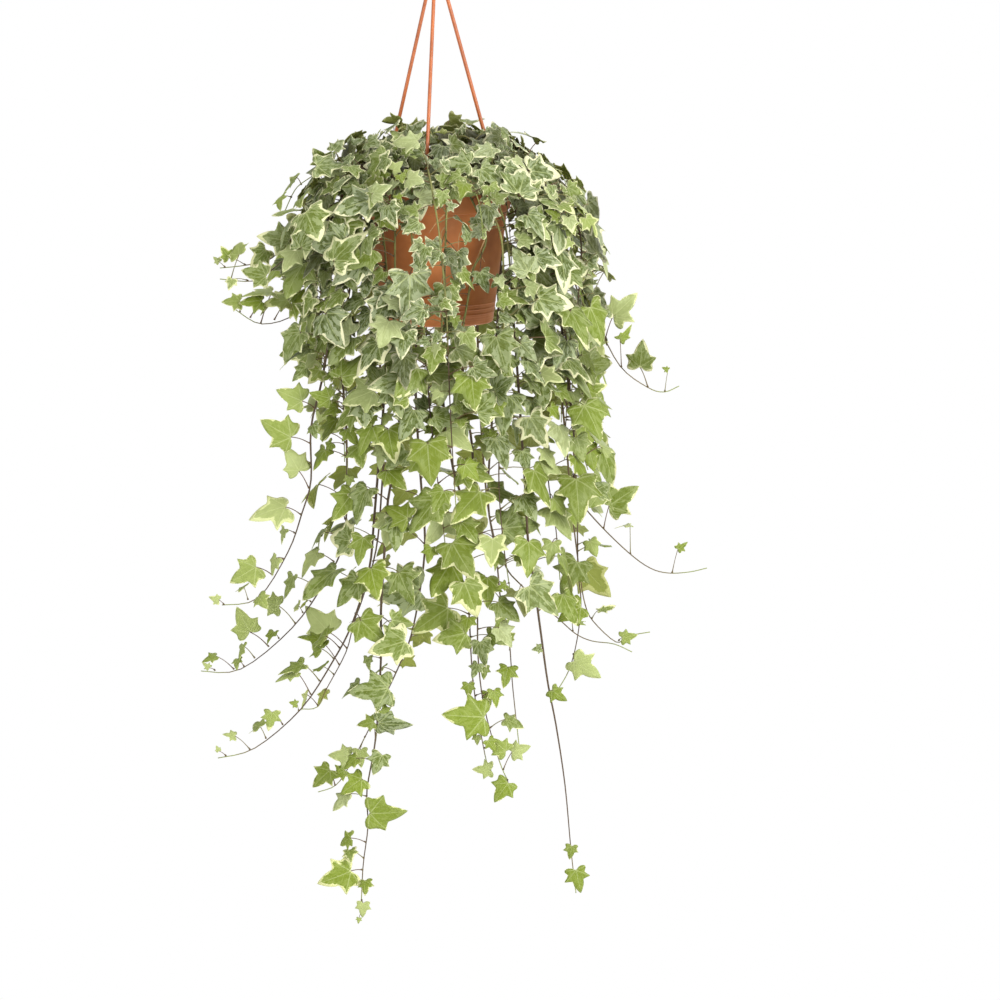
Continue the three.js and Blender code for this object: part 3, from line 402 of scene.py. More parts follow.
class Sheet:
    """A material or node group being wired, with short ways to add and join nodes."""

    def __init__(self, tree: bpy.types.NodeTree) -> None:
        """Start on a node tree."""
        self.tree = tree

    def put(self, socket: Socket, value: object) -> None:
        """Join a socket to an input, or set the input to a plain value."""
        if isinstance(value, Socket):
            self.tree.links.new(value, socket)
        else:
            socket.default_value = value

    def node(self, kind: str, inputs: dict[str | int, object] | None = None,
             **settings: object) -> bpy.types.Node:
        """Add a node.

        Args:
            kind: Its Blender type, without the leading ShaderNode.
            inputs: Values or sockets for its inputs, by name or number.
            settings: Its own properties.

        Returns:
            The node.
        """
        made = self.tree.nodes.new("ShaderNode" + kind)
        for name, value in settings.items():
            setattr(made, name, value)
        for name, value in (inputs or {}).items():
            self.put(made.inputs[name], value)
        return made

    def math(self, operation: str, *values: object) -> Socket:
        """The result of a sum on numbers or sockets."""
        return self.node("Math", dict(enumerate(values)), operation=operation).outputs[0]

    def plus(self, one: object, two: object) -> Socket:
        """One value and another."""
        return self.math("ADD", one, two)

    def minus(self, one: object, two: object) -> Socket:
        """One value less another."""
        return self.math("SUBTRACT", one, two)

    def times(self, one: object, two: object) -> Socket:
        """One value times another."""
        return self.math("MULTIPLY", one, two)

    def vector(self, operation: str, *values: object, result: str = "Vector") -> Socket:
        """The result of a sum on vectors."""
        return self.node("VectorMath", dict(enumerate(values)), operation=operation).outputs[result]

    def scaled(self, vector: Socket, scale: object) -> Socket:
        """A vector made longer or shorter."""
        return self.node("VectorMath", {0: vector, "Scale": scale}, operation="SCALE").outputs[0]

    def place(self, x: object, y: object, z: object = 0.0) -> Socket:
        """A vector of three values."""
        return self.node("CombineXYZ", {"X": x, "Y": y, "Z": z}).outputs[0]

    def channels(self, attribute: str) -> list[Socket]:
        """The three values of a corner attribute."""
        kind = self.node("Attribute", attribute_name=attribute)
        return self.node("SeparateColor", {0: kind.outputs["Color"]}).outputs[:3]

    def ramp(self, value: object, low: float, high: float, start: float = 0.0, end: float = 1.0) -> Socket:
        """A value that lies from low to high, spread smoothly from start to end."""
        inputs = {"Value": value, "From Min": low, "From Max": high, "To Min": start, "To Max": end}
        return self.node("MapRange", inputs, interpolation_type="SMOOTHSTEP").outputs["Result"]

    def blend(self, share: object, one: object, two: object) -> Socket:
        """A mix of two colours.

        Args:
            share: How much of the second.
            one: The first colour.
            two: The second colour.

        Returns:
            The mixed colour's socket.
        """
        made = self.node("Mix", data_type="RGBA")
        for number, value in ((0, share), (6, one), (7, two)):
            self.put(made.inputs[number], value)
        return made.outputs[2]

    def noise(self, vector: object, scale: float, detail: float = 3.0, rough: float = 0.55) -> Socket:
        """Soft noise over a vector."""
        inputs = {"Vector": vector, "Scale": scale, "Detail": detail, "Roughness": rough}
        return self.node("TexNoise", inputs).outputs["Fac"]

    def gloss(self, colour: Socket, rough: object, relief: Socket, strength: float, depth: float,
              **inputs: object) -> tuple[bpy.types.Node, Socket]:
        """A glossy shader over fine relief.

        Args:
            colour: Its colour.
            rough: Its roughness.
            relief: The height of the relief.
            strength: How strongly the relief shows.
            depth: How deep it is, in metres.
            inputs: Further inputs of the shader, by name.

        Returns:
            The shader and the relief's normal.
        """
        normal = self.node("Bump", {"Strength": strength, "Distance": depth, "Height": relief}).outputs[0]
        inputs = {"Base Color": colour, "Roughness": rough, "Normal": normal, **inputs}
        return self.node("BsdfPrincipled", inputs), normal

    def show(self, shader: bpy.types.Node) -> None:
        """Put a shader on the surface."""
        self.node("OutputMaterial", {"Surface": shader.outputs[0]})


class GroupSheet(Sheet):
    """A new node group being wired, with its named inputs."""

    def __init__(self, name: str, inputs: dict[str, str], outputs: Sequence[str]) -> None:
        """Make the group with its sockets.

        Args:
            name: The group's name.
            inputs: The types of its inputs, by name.
            outputs: The names of its outputs, which are plain values.
        """
        super().__init__(bpy.data.node_groups.new(name, "ShaderNodeTree"))
        for title, kind in inputs.items():
            self.tree.interface.new_socket(name=title, in_out="INPUT", socket_type="NodeSocket" + kind)
        for title in outputs:
            self.tree.interface.new_socket(name=title, in_out="OUTPUT", socket_type="NodeSocketFloat")
        self.given = self.tree.nodes.new("NodeGroupInput").outputs
        self.out = self.tree.nodes.new("NodeGroupOutput")

    def close(self, **values: Socket) -> bpy.types.NodeTree:
        """Join the outputs.

        Args:
            values: The sockets by the names of the outputs, with _ for a space.

        Returns:
            The node group.
        """
        for title, value in values.items():
            self.tree.links.new(value, self.out.inputs[title.replace("_", " ")])
        return self.tree


def new_material(name: str) -> tuple[bpy.types.Material, Sheet]:
    """An empty material.

    Args:
        name: Its name.

    Returns:
        The material and the sheet to wire it on.
    """
    made = bpy.data.materials.new(name)
    made.use_nodes = True
    made.node_tree.nodes.clear()
    return made, Sheet(made.node_tree)


def vein_line_group() -> bpy.types.NodeTree:
    """The group that measures how near a point of the blade lies to one main vein, and its side veins.

    Returns:
        The node group.
    """
    inputs = {"Place": "Vector", "Start": "Vector", "End": "Vector"}
    sheet = GroupSheet("vein_line", inputs, ("Distance", "Side veins"))
    reach = sheet.vector("SUBTRACT", sheet.given["End"], sheet.given["Start"])
    away = sheet.vector("SUBTRACT", sheet.given["Place"], sheet.given["Start"])
    length = sheet.vector("LENGTH", reach, result="Value")
    along = sheet.vector("DOT_PRODUCT", away, reach, result="Value")
    share = sheet.math("DIVIDE", along, sheet.times(length, length))
    foot = sheet.scaled(reach, sheet.node("Clamp", {"Value": share}).outputs[0])
    distance = sheet.vector("LENGTH", sheet.vector("SUBTRACT", away, foot), result="Value")
    step = sheet.plus(sheet.times(sheet.times(share, length), 7.0), sheet.times(distance, -6.0))
    wave = sheet.math("ABSOLUTE", sheet.minus(sheet.math("FRACT", step), 0.5))
    line = sheet.ramp(wave, 0.0, 0.07, 1.0, 0.0)
    fade = sheet.ramp(distance, 0.05, 0.22, 1.0, 0.0)
    return sheet.close(Distance=distance, Side_veins=sheet.times(line, fade))


def leaf_pattern_group() -> bpy.types.NodeTree:
    """The group that lays veins, sage flecks and a jagged pale margin over a blade.

    Returns:
        The node group.
    """
    inputs = {"Plane": "Vector", "Rim": "Float", "Seed": "Float", "Margin": "Float"}
    outputs = ("Veins", "Side veins", "Cream", "Sage", "Mottle", "Relief")
    sheet = GroupSheet("leaf_pattern", inputs, outputs)
    given = sheet.given
    line_group = vein_line_group()
    apart = sheet.node("SeparateXYZ", {0: given["Plane"]})
    x, y = apart.outputs["X"], apart.outputs["Y"]
    half = sheet.place(sheet.math("ABSOLUTE", x), y)
    nearest: Socket | None = None
    sides: Socket | None = None
    for end in ((0.0, 0.97, 0.0), (0.53, 0.40, 0.0), (0.40, -0.06, 0.0)):
        vein = sheet.node("Group", node_tree=line_group)
        sheet.put(vein.inputs["Place"], half)
        sheet.put(vein.inputs["End"], end)
        distance, branches = vein.outputs["Distance"], vein.outputs["Side veins"]
        if nearest is None:
            nearest, sides = distance, branches
            continue
        closer = sheet.math("LESS_THAN", distance, nearest)
        sides = sheet.plus(sheet.times(branches, closer), sheet.times(sides, sheet.minus(1.0, closer)))
        nearest = sheet.math("MINIMUM", nearest, distance)
    reach = sheet.vector("LENGTH", given["Plane"], result="Value")
    width = sheet.ramp(reach, 0.0, 1.0, 0.02, 0.007)
    veins = sheet.ramp(sheet.math("DIVIDE", nearest, width), 0.35, 1.3, 1.0, 0.0)
    angle = sheet.math("ARCTAN2", x, sheet.plus(y, RAY_DROP))
    seed = sheet.times(given["Seed"], 41.0)
    streaks = sheet.place(sheet.times(angle, 2.6), sheet.times(reach, 1.5), seed)
    coarse = sheet.noise(streaks, 1.5, 2.0, 0.5)
    fine = sheet.noise(streaks, 5.5, 3.0, 0.6)
    wander = sheet.plus(sheet.times(coarse, 0.75), sheet.times(fine, 0.32))
    inward = sheet.plus(sheet.minus(given["Rim"], 0.55), wander)
    cream = sheet.ramp(sheet.minus(inward, sheet.minus(1.0, given["Margin"])), -0.012, 0.012)
    patches = sheet.noise(sheet.place(sheet.times(angle, 1.6), reach, sheet.plus(seed, 7.3)), 4.2, 3.0, 0.6)
    sage = sheet.ramp(sheet.plus(patches, sheet.times(given["Rim"], 0.16)), 0.585, 0.625)
    mottle = sheet.noise(sheet.place(x, y, seed), 9.0, 4.0, 0.6)
    lower = sheet.plus(sheet.times(sides, -0.3), sheet.times(mottle, 0.25))
    relief = sheet.plus(sheet.times(veins, -0.7), lower)
    return sheet.close(Veins=veins, Side_veins=sides, Cream=cream, Sage=sage, Mottle=mottle, Relief=relief)


def grain_group() -> bpy.types.NodeTree:
    """The group that gives moulded plastic and stems their fine grain and uneven tone.

    Returns:
        The node group.
    """
    sheet = GroupSheet("fine_grain", {"Scale": "Float"}, ("Tone", "Grain"))
    spread = sheet.scaled(sheet.node("TexCoord").outputs["Object"], sheet.given["Scale"])
    return sheet.close(Tone=sheet.noise(spread, 6.0, 3.0), Grain=sheet.noise(spread, 160.0, 2.0))


@dataclass(frozen=True)
class LeafFinish:
    """The blades: grey-green to fresh green centres, sage flecks, pale veins, jagged cream margins, and
    painted light and shade: each leaf paled towards a painted highlight or darkened to a near-black painted
    shade.
    """

    pattern: bpy.types.NodeTree
    centre: Colour = srgb(120, 134, 84)
    deep: Colour = srgb(82, 94, 36)
    sage: Colour = srgb(168, 178, 138)
    cream: Colour = srgb(240, 238, 196)
    vein: Colour = srgb(196, 206, 140)
    fresh_centre: Colour = srgb(132, 150, 50)
    fresh_sage: Colour = srgb(164, 178, 92)
    fresh_cream: Colour = srgb(230, 232, 170)
    under: Colour = srgb(156, 160, 76)
    # Painted highlight colour, partly the real pallor of young and pale leaves; then the painted shade
    # colour, near black, for the shade between and inside the leaves
    pale: Colour = srgb(212, 220, 160)
    shaded: Colour = srgb(42, 38, 4)
    side_vein_share: float = 0.3
    vein_share: float = 0.48
    under_share: float = 0.62
    shine: float = 0.26
    light_through: float = 0.26

    def material(self) -> bpy.types.Material:
        """The finish as a material.

        Returns:
            The material.
        """
        made, sheet = new_material("ivy_blade")
        seed, tone, margin = sheet.channels("leaf_kind")
        rim, below, light = sheet.channels("leaf_side")
        plane = sheet.node("UVMap", uv_map="leaf_plane").outputs[0]
        inputs = {"Plane": plane, "Rim": rim, "Seed": seed, "Margin": margin}
        pattern = sheet.node("Group", inputs, node_tree=self.pattern).outputs
        centre = sheet.blend(sheet.ramp(pattern["Mottle"], 0.35, 0.65), self.deep, self.centre)
        centre = sheet.blend(tone, centre, self.fresh_centre)
        sage = sheet.blend(tone, self.sage, self.fresh_sage)
        cream = sheet.blend(tone, self.cream, self.fresh_cream)
        flecks = sheet.times(pattern["Sage"], sheet.ramp(tone, 0.0, 1.0, 0.85, 0.4))
        face = sheet.blend(flecks, centre, sage)
        face = sheet.blend(sheet.times(pattern["Side veins"], self.side_vein_share), face, self.vein)
        face = sheet.blend(pattern["Cream"], face, cream)
        face = sheet.blend(sheet.times(pattern["Veins"], self.vein_share), face, self.vein)
        face = sheet.blend(below, face, sheet.blend(self.under_share, face, self.under))
        # Painted light and shade: the leaf's light value above 0.5 pales it towards the painted highlight,
        # below 0.5 darkens it towards the near-black painted shade
        face = sheet.blend(sheet.ramp(light, 0.5, 1.0, 0.0, 0.5), face, self.pale)
        face = sheet.blend(sheet.ramp(light, 0.0, 0.5, 0.9, 0.0), face, self.shaded)
        rough = sheet.ramp(below, 0, 1, 0.42, 0.62)
        gloss, normal = sheet.gloss(face, rough, pattern["Relief"], 0.28, 0.0012,
                                    **{"Specular IOR Level": self.shine})
        glow = sheet.node("BsdfTranslucent", {"Color": face, "Normal": normal})
        sheet.show(sheet.node("MixShader", {0: self.light_through, 1: gloss.outputs[0], 2: glow.outputs[0]}))
        return made


@dataclass(frozen=True)
class StemFinish:
    """The stems, leaf stalks and rootlets: dark brown where old, pale green where young, tan where dry."""

    grain: bpy.types.NodeTree
    old: Colour = srgb(76, 58, 34)
    ripe: Colour = srgb(108, 92, 50)
    young: Colour = srgb(132, 142, 72)
    stalk: Colour = srgb(122, 116, 66)
    flush: Colour = srgb(98, 74, 48)
    dry: Colour = srgb(204, 164, 112)

    def material(self) -> bpy.types.Material:
        """The finish as a material.

        Returns:
            The material.
        """
        made, sheet = new_material("ivy_stem")
        age, stalk, flush = sheet.channels("stem_kind")
        grain = sheet.node("Group", {"Scale": 22.0}, node_tree=self.grain).outputs
        wander = sheet.plus(age, sheet.times(sheet.minus(grain["Tone"], 0.5), 0.5))
        colour = sheet.blend(sheet.ramp(wander, 0.15, 0.55), self.young, self.ripe)
        colour = sheet.blend(sheet.ramp(wander, 0.5, 0.9), colour, self.old)
        slim = sheet.blend(sheet.ramp(flush, 0.0, 0.5), self.stalk, self.flush)
        slim = sheet.blend(sheet.ramp(flush, 0.6, 1.0), slim, self.dry)
        colour = sheet.blend(stalk, colour, slim)
        sheet.show(sheet.gloss(colour, 0.55, grain["Grain"], 0.4, 0.0004)[0])
        return made


@dataclass(frozen=True)
class MouldedFinish:
    """Terracotta-coloured moulded plastic, with a faint uneven tone and fine grain."""

    grain: bpy.types.NodeTree
    name: str
    colour: Colour
    shade: Colour
    roughness: float
    rings: float = 0.0
    rings_from: float = BASE_Z + 6
    rings_to: float = BASE_Z + 42

    def material(self) -> bpy.types.Material:
        """The finish as a material.

        Returns:
            The material.
        """
        made, sheet = new_material(self.name)
        grain = sheet.node("Group", {"Scale": 5.0}, node_tree=self.grain).outputs
        colour = sheet.blend(sheet.ramp(grain["Tone"], 0.3, 0.72), self.colour, self.shade)
        relief = sheet.times(grain["Grain"], 0.35)
        if self.rings:
            place = sheet.node("TexCoord").outputs["Object"]
            level = sheet.node("SeparateXYZ", {0: place}).outputs["Z"]
            wave = sheet.math("SINE", sheet.times(level, self.rings))
            near_foot = sheet.ramp(level, self.rings_from * MM, self.rings_to * MM, 1.0, 0.12)
            relief = sheet.plus(relief, sheet.times(wave, near_foot))
        rough = sheet.ramp(grain["Tone"], 0.2, 0.8, self.roughness - 0.05, self.roughness + 0.08)
        sheet.show(sheet.gloss(colour, rough, relief, 0.22, 0.0003)[0])
        return made


@dataclass(frozen=True)
class SoilFinish:
    """Moist dark compost with paler fibres."""

    dark: Colour = srgb(38, 28, 22)
    brown: Colour = srgb(84, 62, 44)
    fibre: Colour = srgb(136, 108, 78)

    def material(self) -> bpy.types.Material:
        """The finish as a material.

        Returns:
            The material.
        """
        made, sheet = new_material("moist_compost")
        place = sheet.node("TexCoord").outputs["Object"]
        lumps = sheet.noise(place, 260.0, 4.0, 0.7)
        specks = sheet.node("TexVoronoi", {"Vector": place, "Scale": 420.0}).outputs["Distance"]
        colour = sheet.blend(sheet.ramp(lumps, 0.38, 0.66), self.dark, self.brown)
        colour = sheet.blend(sheet.ramp(specks, 0.0, 0.12, 0.8, 0.0), colour, self.fibre)
        relief = sheet.plus(lumps, sheet.times(specks, 0.5))
        sheet.show(sheet.gloss(colour, sheet.ramp(lumps, 0.3, 0.7, 0.98, 0.72), relief, 0.9, 0.002)[0])
        return made


# The pot, the hanger and the soil


@dataclass(frozen=True)
class Pot:
    """The tapered plastic pot, with a rounded edge, a thicker band, faint rings and holes."""

    finish: MouldedFinish
    sides: int = 144
    drain_holes: int = 5
    drain_radius: float = 4.5
    drain_ring: float = 30.0
    drain_turn: float = 18.0
    rings: tuple[float, ...] = (10.0, 15.0, 20.0)
    ring_width: float = 0.7
    ring_proud: float = 0.35
    wall_low: float = BASE_Z + 2.5
    wall_high: float = RIM_Z - RIM_BAND - 2
    wall_foot: float = FOOT_RADIUS + 0.3
    crease: float = 35.0

    def wall(self, z: float) -> float:
        """The outer wall's radius at a height."""
        share = (z - self.wall_low) / (self.wall_high - self.wall_low)
        return self.wall_foot + (NECK_RADIUS - self.wall_foot) * share

    def profile(self) -> list[tuple[float, float]]:
        """The pot's section, from axis to axis.

        Returns:
            Points as radius and height.
        """
        foot = [(0, FOOT_RISE), (FOOT_RADIUS - 11, FOOT_RISE), (FOOT_RADIUS - 9.4, 0.5),
                (FOOT_RADIUS - 8.6, 0), (FOOT_RADIUS - 1.4, 0), (FOOT_RADIUS - 0.6, 0.3), (FOOT_RADIUS, 1.1)]
        lower = [(radius, BASE_Z + z) for radius, z in foot] + [(self.wall(self.wall_low), self.wall_low)]
        for ring in self.rings:
            for rise, proud in ((0, 0), (self.ring_width, self.ring_proud), (2 * self.ring_width, 0)):
                z = BASE_Z + ring + rise
                lower.append((self.wall(z) + proud, z))
        lower.append((NECK_RADIUS, self.wall_high))
        inner = RIM_RADIUS - WALL
        band = [(NECK_RADIUS + 0.5, -RIM_BAND - 0.9), (RIM_RADIUS - 2.4, -RIM_BAND - 0.1),
                (RIM_RADIUS - 1.9, -RIM_BAND + 0.8), (RIM_RADIUS - 0.4, -5.2), (RIM_RADIUS - 0.1, -4.4),
                (RIM_RADIUS, -3), (RIM_RADIUS, -1.2), (RIM_RADIUS - 0.35, -0.35), (RIM_RADIUS - 1.1, 0),
                (inner + 0.6, 0), (inner, -0.6), (inner - 1.4, -RIM_BAND),
                (NECK_RADIUS - WALL, -RIM_BAND - 4)]
        upper = [(radius, RIM_Z + z) for radius, z in band]
        floor = [(FOOT_RADIUS - WALL, FLOOR_Z + 1), (FOOT_RADIUS - WALL - 2, FLOOR_Z), (0, FLOOR_Z)]
        return lower + upper + floor

    def build(self) -> None:
        """Make the pot."""
        parts = MeshParts()
        turn_profile(parts, self.profile(), self.sides)
        made = parts.piece("pot_shell", self.finish.material(), self.crease)
        bars = []
        for k in range(self.drain_holes):
            foot = polar(self.drain_ring, 360 / self.drain_holes * k + self.drain_turn, BASE_Z - 1)
            bars.append((foot, foot + UP * 9, self.drain_radius, 24))
        for angle in LEG_ANGLES:
            inside, outside = polar(LEG_FOOT_RADIUS, angle, PEG_Z), polar(RIM_RADIUS + 5, angle, PEG_Z)
            bars.append((inside, outside, PEG_HOLE_RADIUS, 20))
        cut_holes(made, bars, self.crease)
        keep(made, "pot")


@dataclass(frozen=True)
class Hanger:
    """The hanger's one moulding: hook, collar, three ribbed legs, pegs and buttons."""

    finish: MouldedFinish
    hook_sides: int = 16
    bend_steps: int = 8
    turned_sides: int = 28
    leg_sides: int = 12
    leg_steps: int = 24
    rib_radius: float = 0.62
    rib_sides: int = 8
    crease: float = 40.0

    def hook_line(self) -> list[Vector]:
        """The middle line of the hook, from the collar to its open tip.

        Returns:
            The line's points.
        """
        bend, middle = HOOK_BORE + HOOK_THICK, -HOOK_BORE
        shank = [(0, COLLAR_Z + 6), (-1, COLLAR_Z + 14), (-9, middle - 24), (1 - bend, middle - 11)]
        turns = [math.pi * (1 - k / self.bend_steps) for k in range(self.bend_steps + 1)]
        arch = [(bend * math.cos(turn), middle + bend * math.sin(turn)) for turn in turns]
        tip = [(bend + 0.8, middle - 9), (bend + 4, middle - 16)]
        return [Vector((x, 0, z)) for x, z in shank + arch + tip]

    def build(self) -> None:
        """Make the hanger."""
        parts = MeshParts()
        line = finer(self.hook_line())
        radii = [HOOK_THICK] * (len(line) - 2) + [HOOK_THICK * 0.94, HOOK_THICK * 0.72]
        sweep(parts, line, radii, self.hook_sides)
        steps = ((1.4, -6.0), (0.4, -5.2), (0.0, -4.0), (0.25, 0.0), (0.25, 1.0), (0.7, 1.4), (0.5, 5.6),
                 (1.2, 7.2), (2.5, 8.7))
        collar = [(0.0, -6.0), *((COLLAR_RADIUS - inset, z) for inset, z in steps), (0.0, 9.0)]
        turn_profile(parts, collar, self.turned_sides, Vector((0, 0, COLLAR_Z)))
        for angle in LEG_ANGLES:
            self.leg(parts, angle)
        keep(parts.piece("hanger_moulding", self.finish.material(), self.crease), "hanger")

    def leg(self, parts: MeshParts, angle: float) -> None:
        """Add a leg with its rib, its peg, and the button that holds it in the pot's band.

        Args:
            parts: The mesh that it joins.
            angle: Where it stands round the pot, in degrees.
        """
        outward = polar(1, angle, 0)
        foot, top = polar(LEG_FOOT_RADIUS, angle, PEG_Z), polar(2, angle, COLLAR_Z)
        line = [top.lerp(foot, k / self.leg_steps) for k in range(self.leg_steps + 1)]
        sweep(parts, line, [LEG_RADIUS - 0.1] * len(line), self.leg_sides)
        rib = (foot - top).cross(Vector((-outward.y, outward.x, 0))).normalized()
        raised = [point - rib * (LEG_RADIUS - 0.5) for point in line[1:-1]]
        sweep(parts, raised, [self.rib_radius] * len(raised), self.rib_sides)
        peg = [(0.0, -PEG_LENGTH - GAP), (PEG_RADIUS, -PEG_LENGTH - GAP), (PEG_RADIUS, GAP)]
        steps = ((0.4, 0.0), (0.0, 0.4), (0.0, 1.2), (0.7, 1.85), (2.0, 2.0))
        button = [*((BUTTON_RADIUS - inset, GAP + rise) for inset, rise in steps), (0.0, GAP + 2.0)]
        turn_profile(parts, peg + button, self.turned_sides, polar(RIM_RADIUS, angle, PEG_Z), outward)
        shank = [foot - outward * 1.6, polar(RIM_RADIUS - 2, angle, PEG_Z)]
        sweep(parts, shank, [2.2, PEG_RADIUS], self.leg_sides)


@dataclass(frozen=True)
class Soil:
    """The compost: a lumpy mound with crumbs lying on it."""

    finish: SoilFinish
    radius: float = RIM_RADIUS - WALL - 1.4 - GAP
    rings: int = 30
    sides: int = 96
    edge_drop: float = 1.2
    crumbs: int = 420
    crumb_sizes: tuple[float, float] = (0.7, 2.4)
    seed: int = 7101

    def level(self, x: float, y: float) -> float:
        """The mound's height at a place across and back."""
        out = math.hypot(x, y) / self.radius
        rough = (math.sin(x * 0.31 + 1.3) * math.cos(y * 0.27) + 0.6 * math.sin(x * 0.83 - y * 0.71)
                 + 0.35 * math.cos(x * 1.7 + y * 1.3))
        return SOIL_Z + SOIL_MOUND * (1 - out * out) - 0.6 + 0.45 * rough

    def build(self) -> None:
        """Make the soil."""
        parts = MeshParts()
        rows = [(0.0, 0.0, self.level(0, 0))]
        for k in range(1, self.rings + 1):
            drop = self.edge_drop if k == self.rings else 0.0
            ring = circle(self.radius * k / self.rings, self.sides)
            rows += [(x, y, self.level(x, y) - drop) for x, y, _ in ring]
        lower = ((NECK_RADIUS - WALL - GAP, RIM_Z - RIM_BAND - 4),
                 (FOOT_RADIUS - WALL - GAP, FLOOR_Z + GAP + 1), (1.0, FLOOR_Z + GAP))
        for radius, z in lower:
            rows += circle(radius, self.sides, z)
        walls = ring_walls(1, self.rings + len(lower), self.sides)
        faces = ring_cap(0, 1, self.sides, True) + [(a, d, c, b) for a, b, c, d in walls]
        faces.append(tuple(range(len(rows) - self.sides, len(rows)))[::-1])
        parts.add(np.array(rows), faces)
        draw = Draws(self.seed)
        for _ in range(self.crumbs):
            reach, turn = (self.radius - 4) * math.sqrt(draw()), 2 * math.pi * draw()
            x, y = reach * math.cos(turn), reach * math.sin(turn)
            place = Vector((x, y, self.level(x, y) + 0.3))
            self.crumb(parts, place, draw.between(*self.crumb_sizes), draw)
        keep(parts.piece("compost", self.finish.material()), "soil")

    def crumb(self, parts: MeshParts, place: Vector, radius: float, draw: Draws) -> None:
        """Add one uneven crumb of twenty faces.

        Args:
            parts: The mesh that it joins.
            place: Its middle.
            radius: Its rough radius.
            draw: The draw of its shape.
        """
        golden = (1 + math.sqrt(5)) / 2
        signs = list(product((-1, 1), repeat=2))
        corners = [Vector((0, s, t * golden)) for s, t in signs]
        corners += [Vector((s, t * golden, 0)) for s, t in signs]
        corners += [Vector((t * golden, 0, s)) for s, t in signs]
        points = [corner.normalized() * radius * draw.between(0.65, 1.1) for corner in corners]
        faces = []
        for three in combinations(range(len(corners)), 3):
            if all(abs((corners[p] - corners[q]).length - 2) < 0.1 for p, q in combinations(three, 2)):
                i, j, k = three
                outward = (points[j] - points[i]).cross(points[k] - points[i])
                faces.append((i, j, k) if outward.dot(points[i] + points[j] + points[k]) > 0 else (i, k, j))
        parts.add(np.array([tuple(place + point) for point in points]), faces)


# The stems of the ivy


class StemKind(Enum):
    """The three sorts of stem, with the seed that their leaves' draws start from."""

    TRAIL = 0
    SKIRT = 5000
    CROWN = 9000


SLOT_DEGREES = 7.5
ROOT_RADII = (58.0, 36.0, 50.0, 28.0)
ROOT_DEPTH = 14.0
STEM_RADIUS = 1.3
ARCH_POINTS = 6
ATTEMPTS = 14
ROOT_POINTS = 4
PUSH_OUT = 2.2
PUSH_ASIDE = math.radians(0.5)
OVER_RADIUS = 90.0
CURVE_STEPS = 4

# The seeds that each sort of draw starts from
RULE_SEED = 100
SKIRT_SEED = 500
CROWN_SEED = 900
SEEN_SEED = 2000
LOOK_SEED = 4000


@dataclass(frozen=True)
class Followed:
    """A stem whose way down can be followed.

    Its sighted points are across, down and forward, on an upright plane through the pot's middle. A leaf
    that can be told apart is foot across and down, joint across and down, tip across and down, how far the
    tip comes forward and the degrees of roll. From the point numbered bare onwards the stem has only these.
    """

    name: str
    slot: int
    seen: tuple[tuple[float, float, float], ...]
    bare: int = 0
    leaves: tuple[tuple[float, ...], ...] = ()


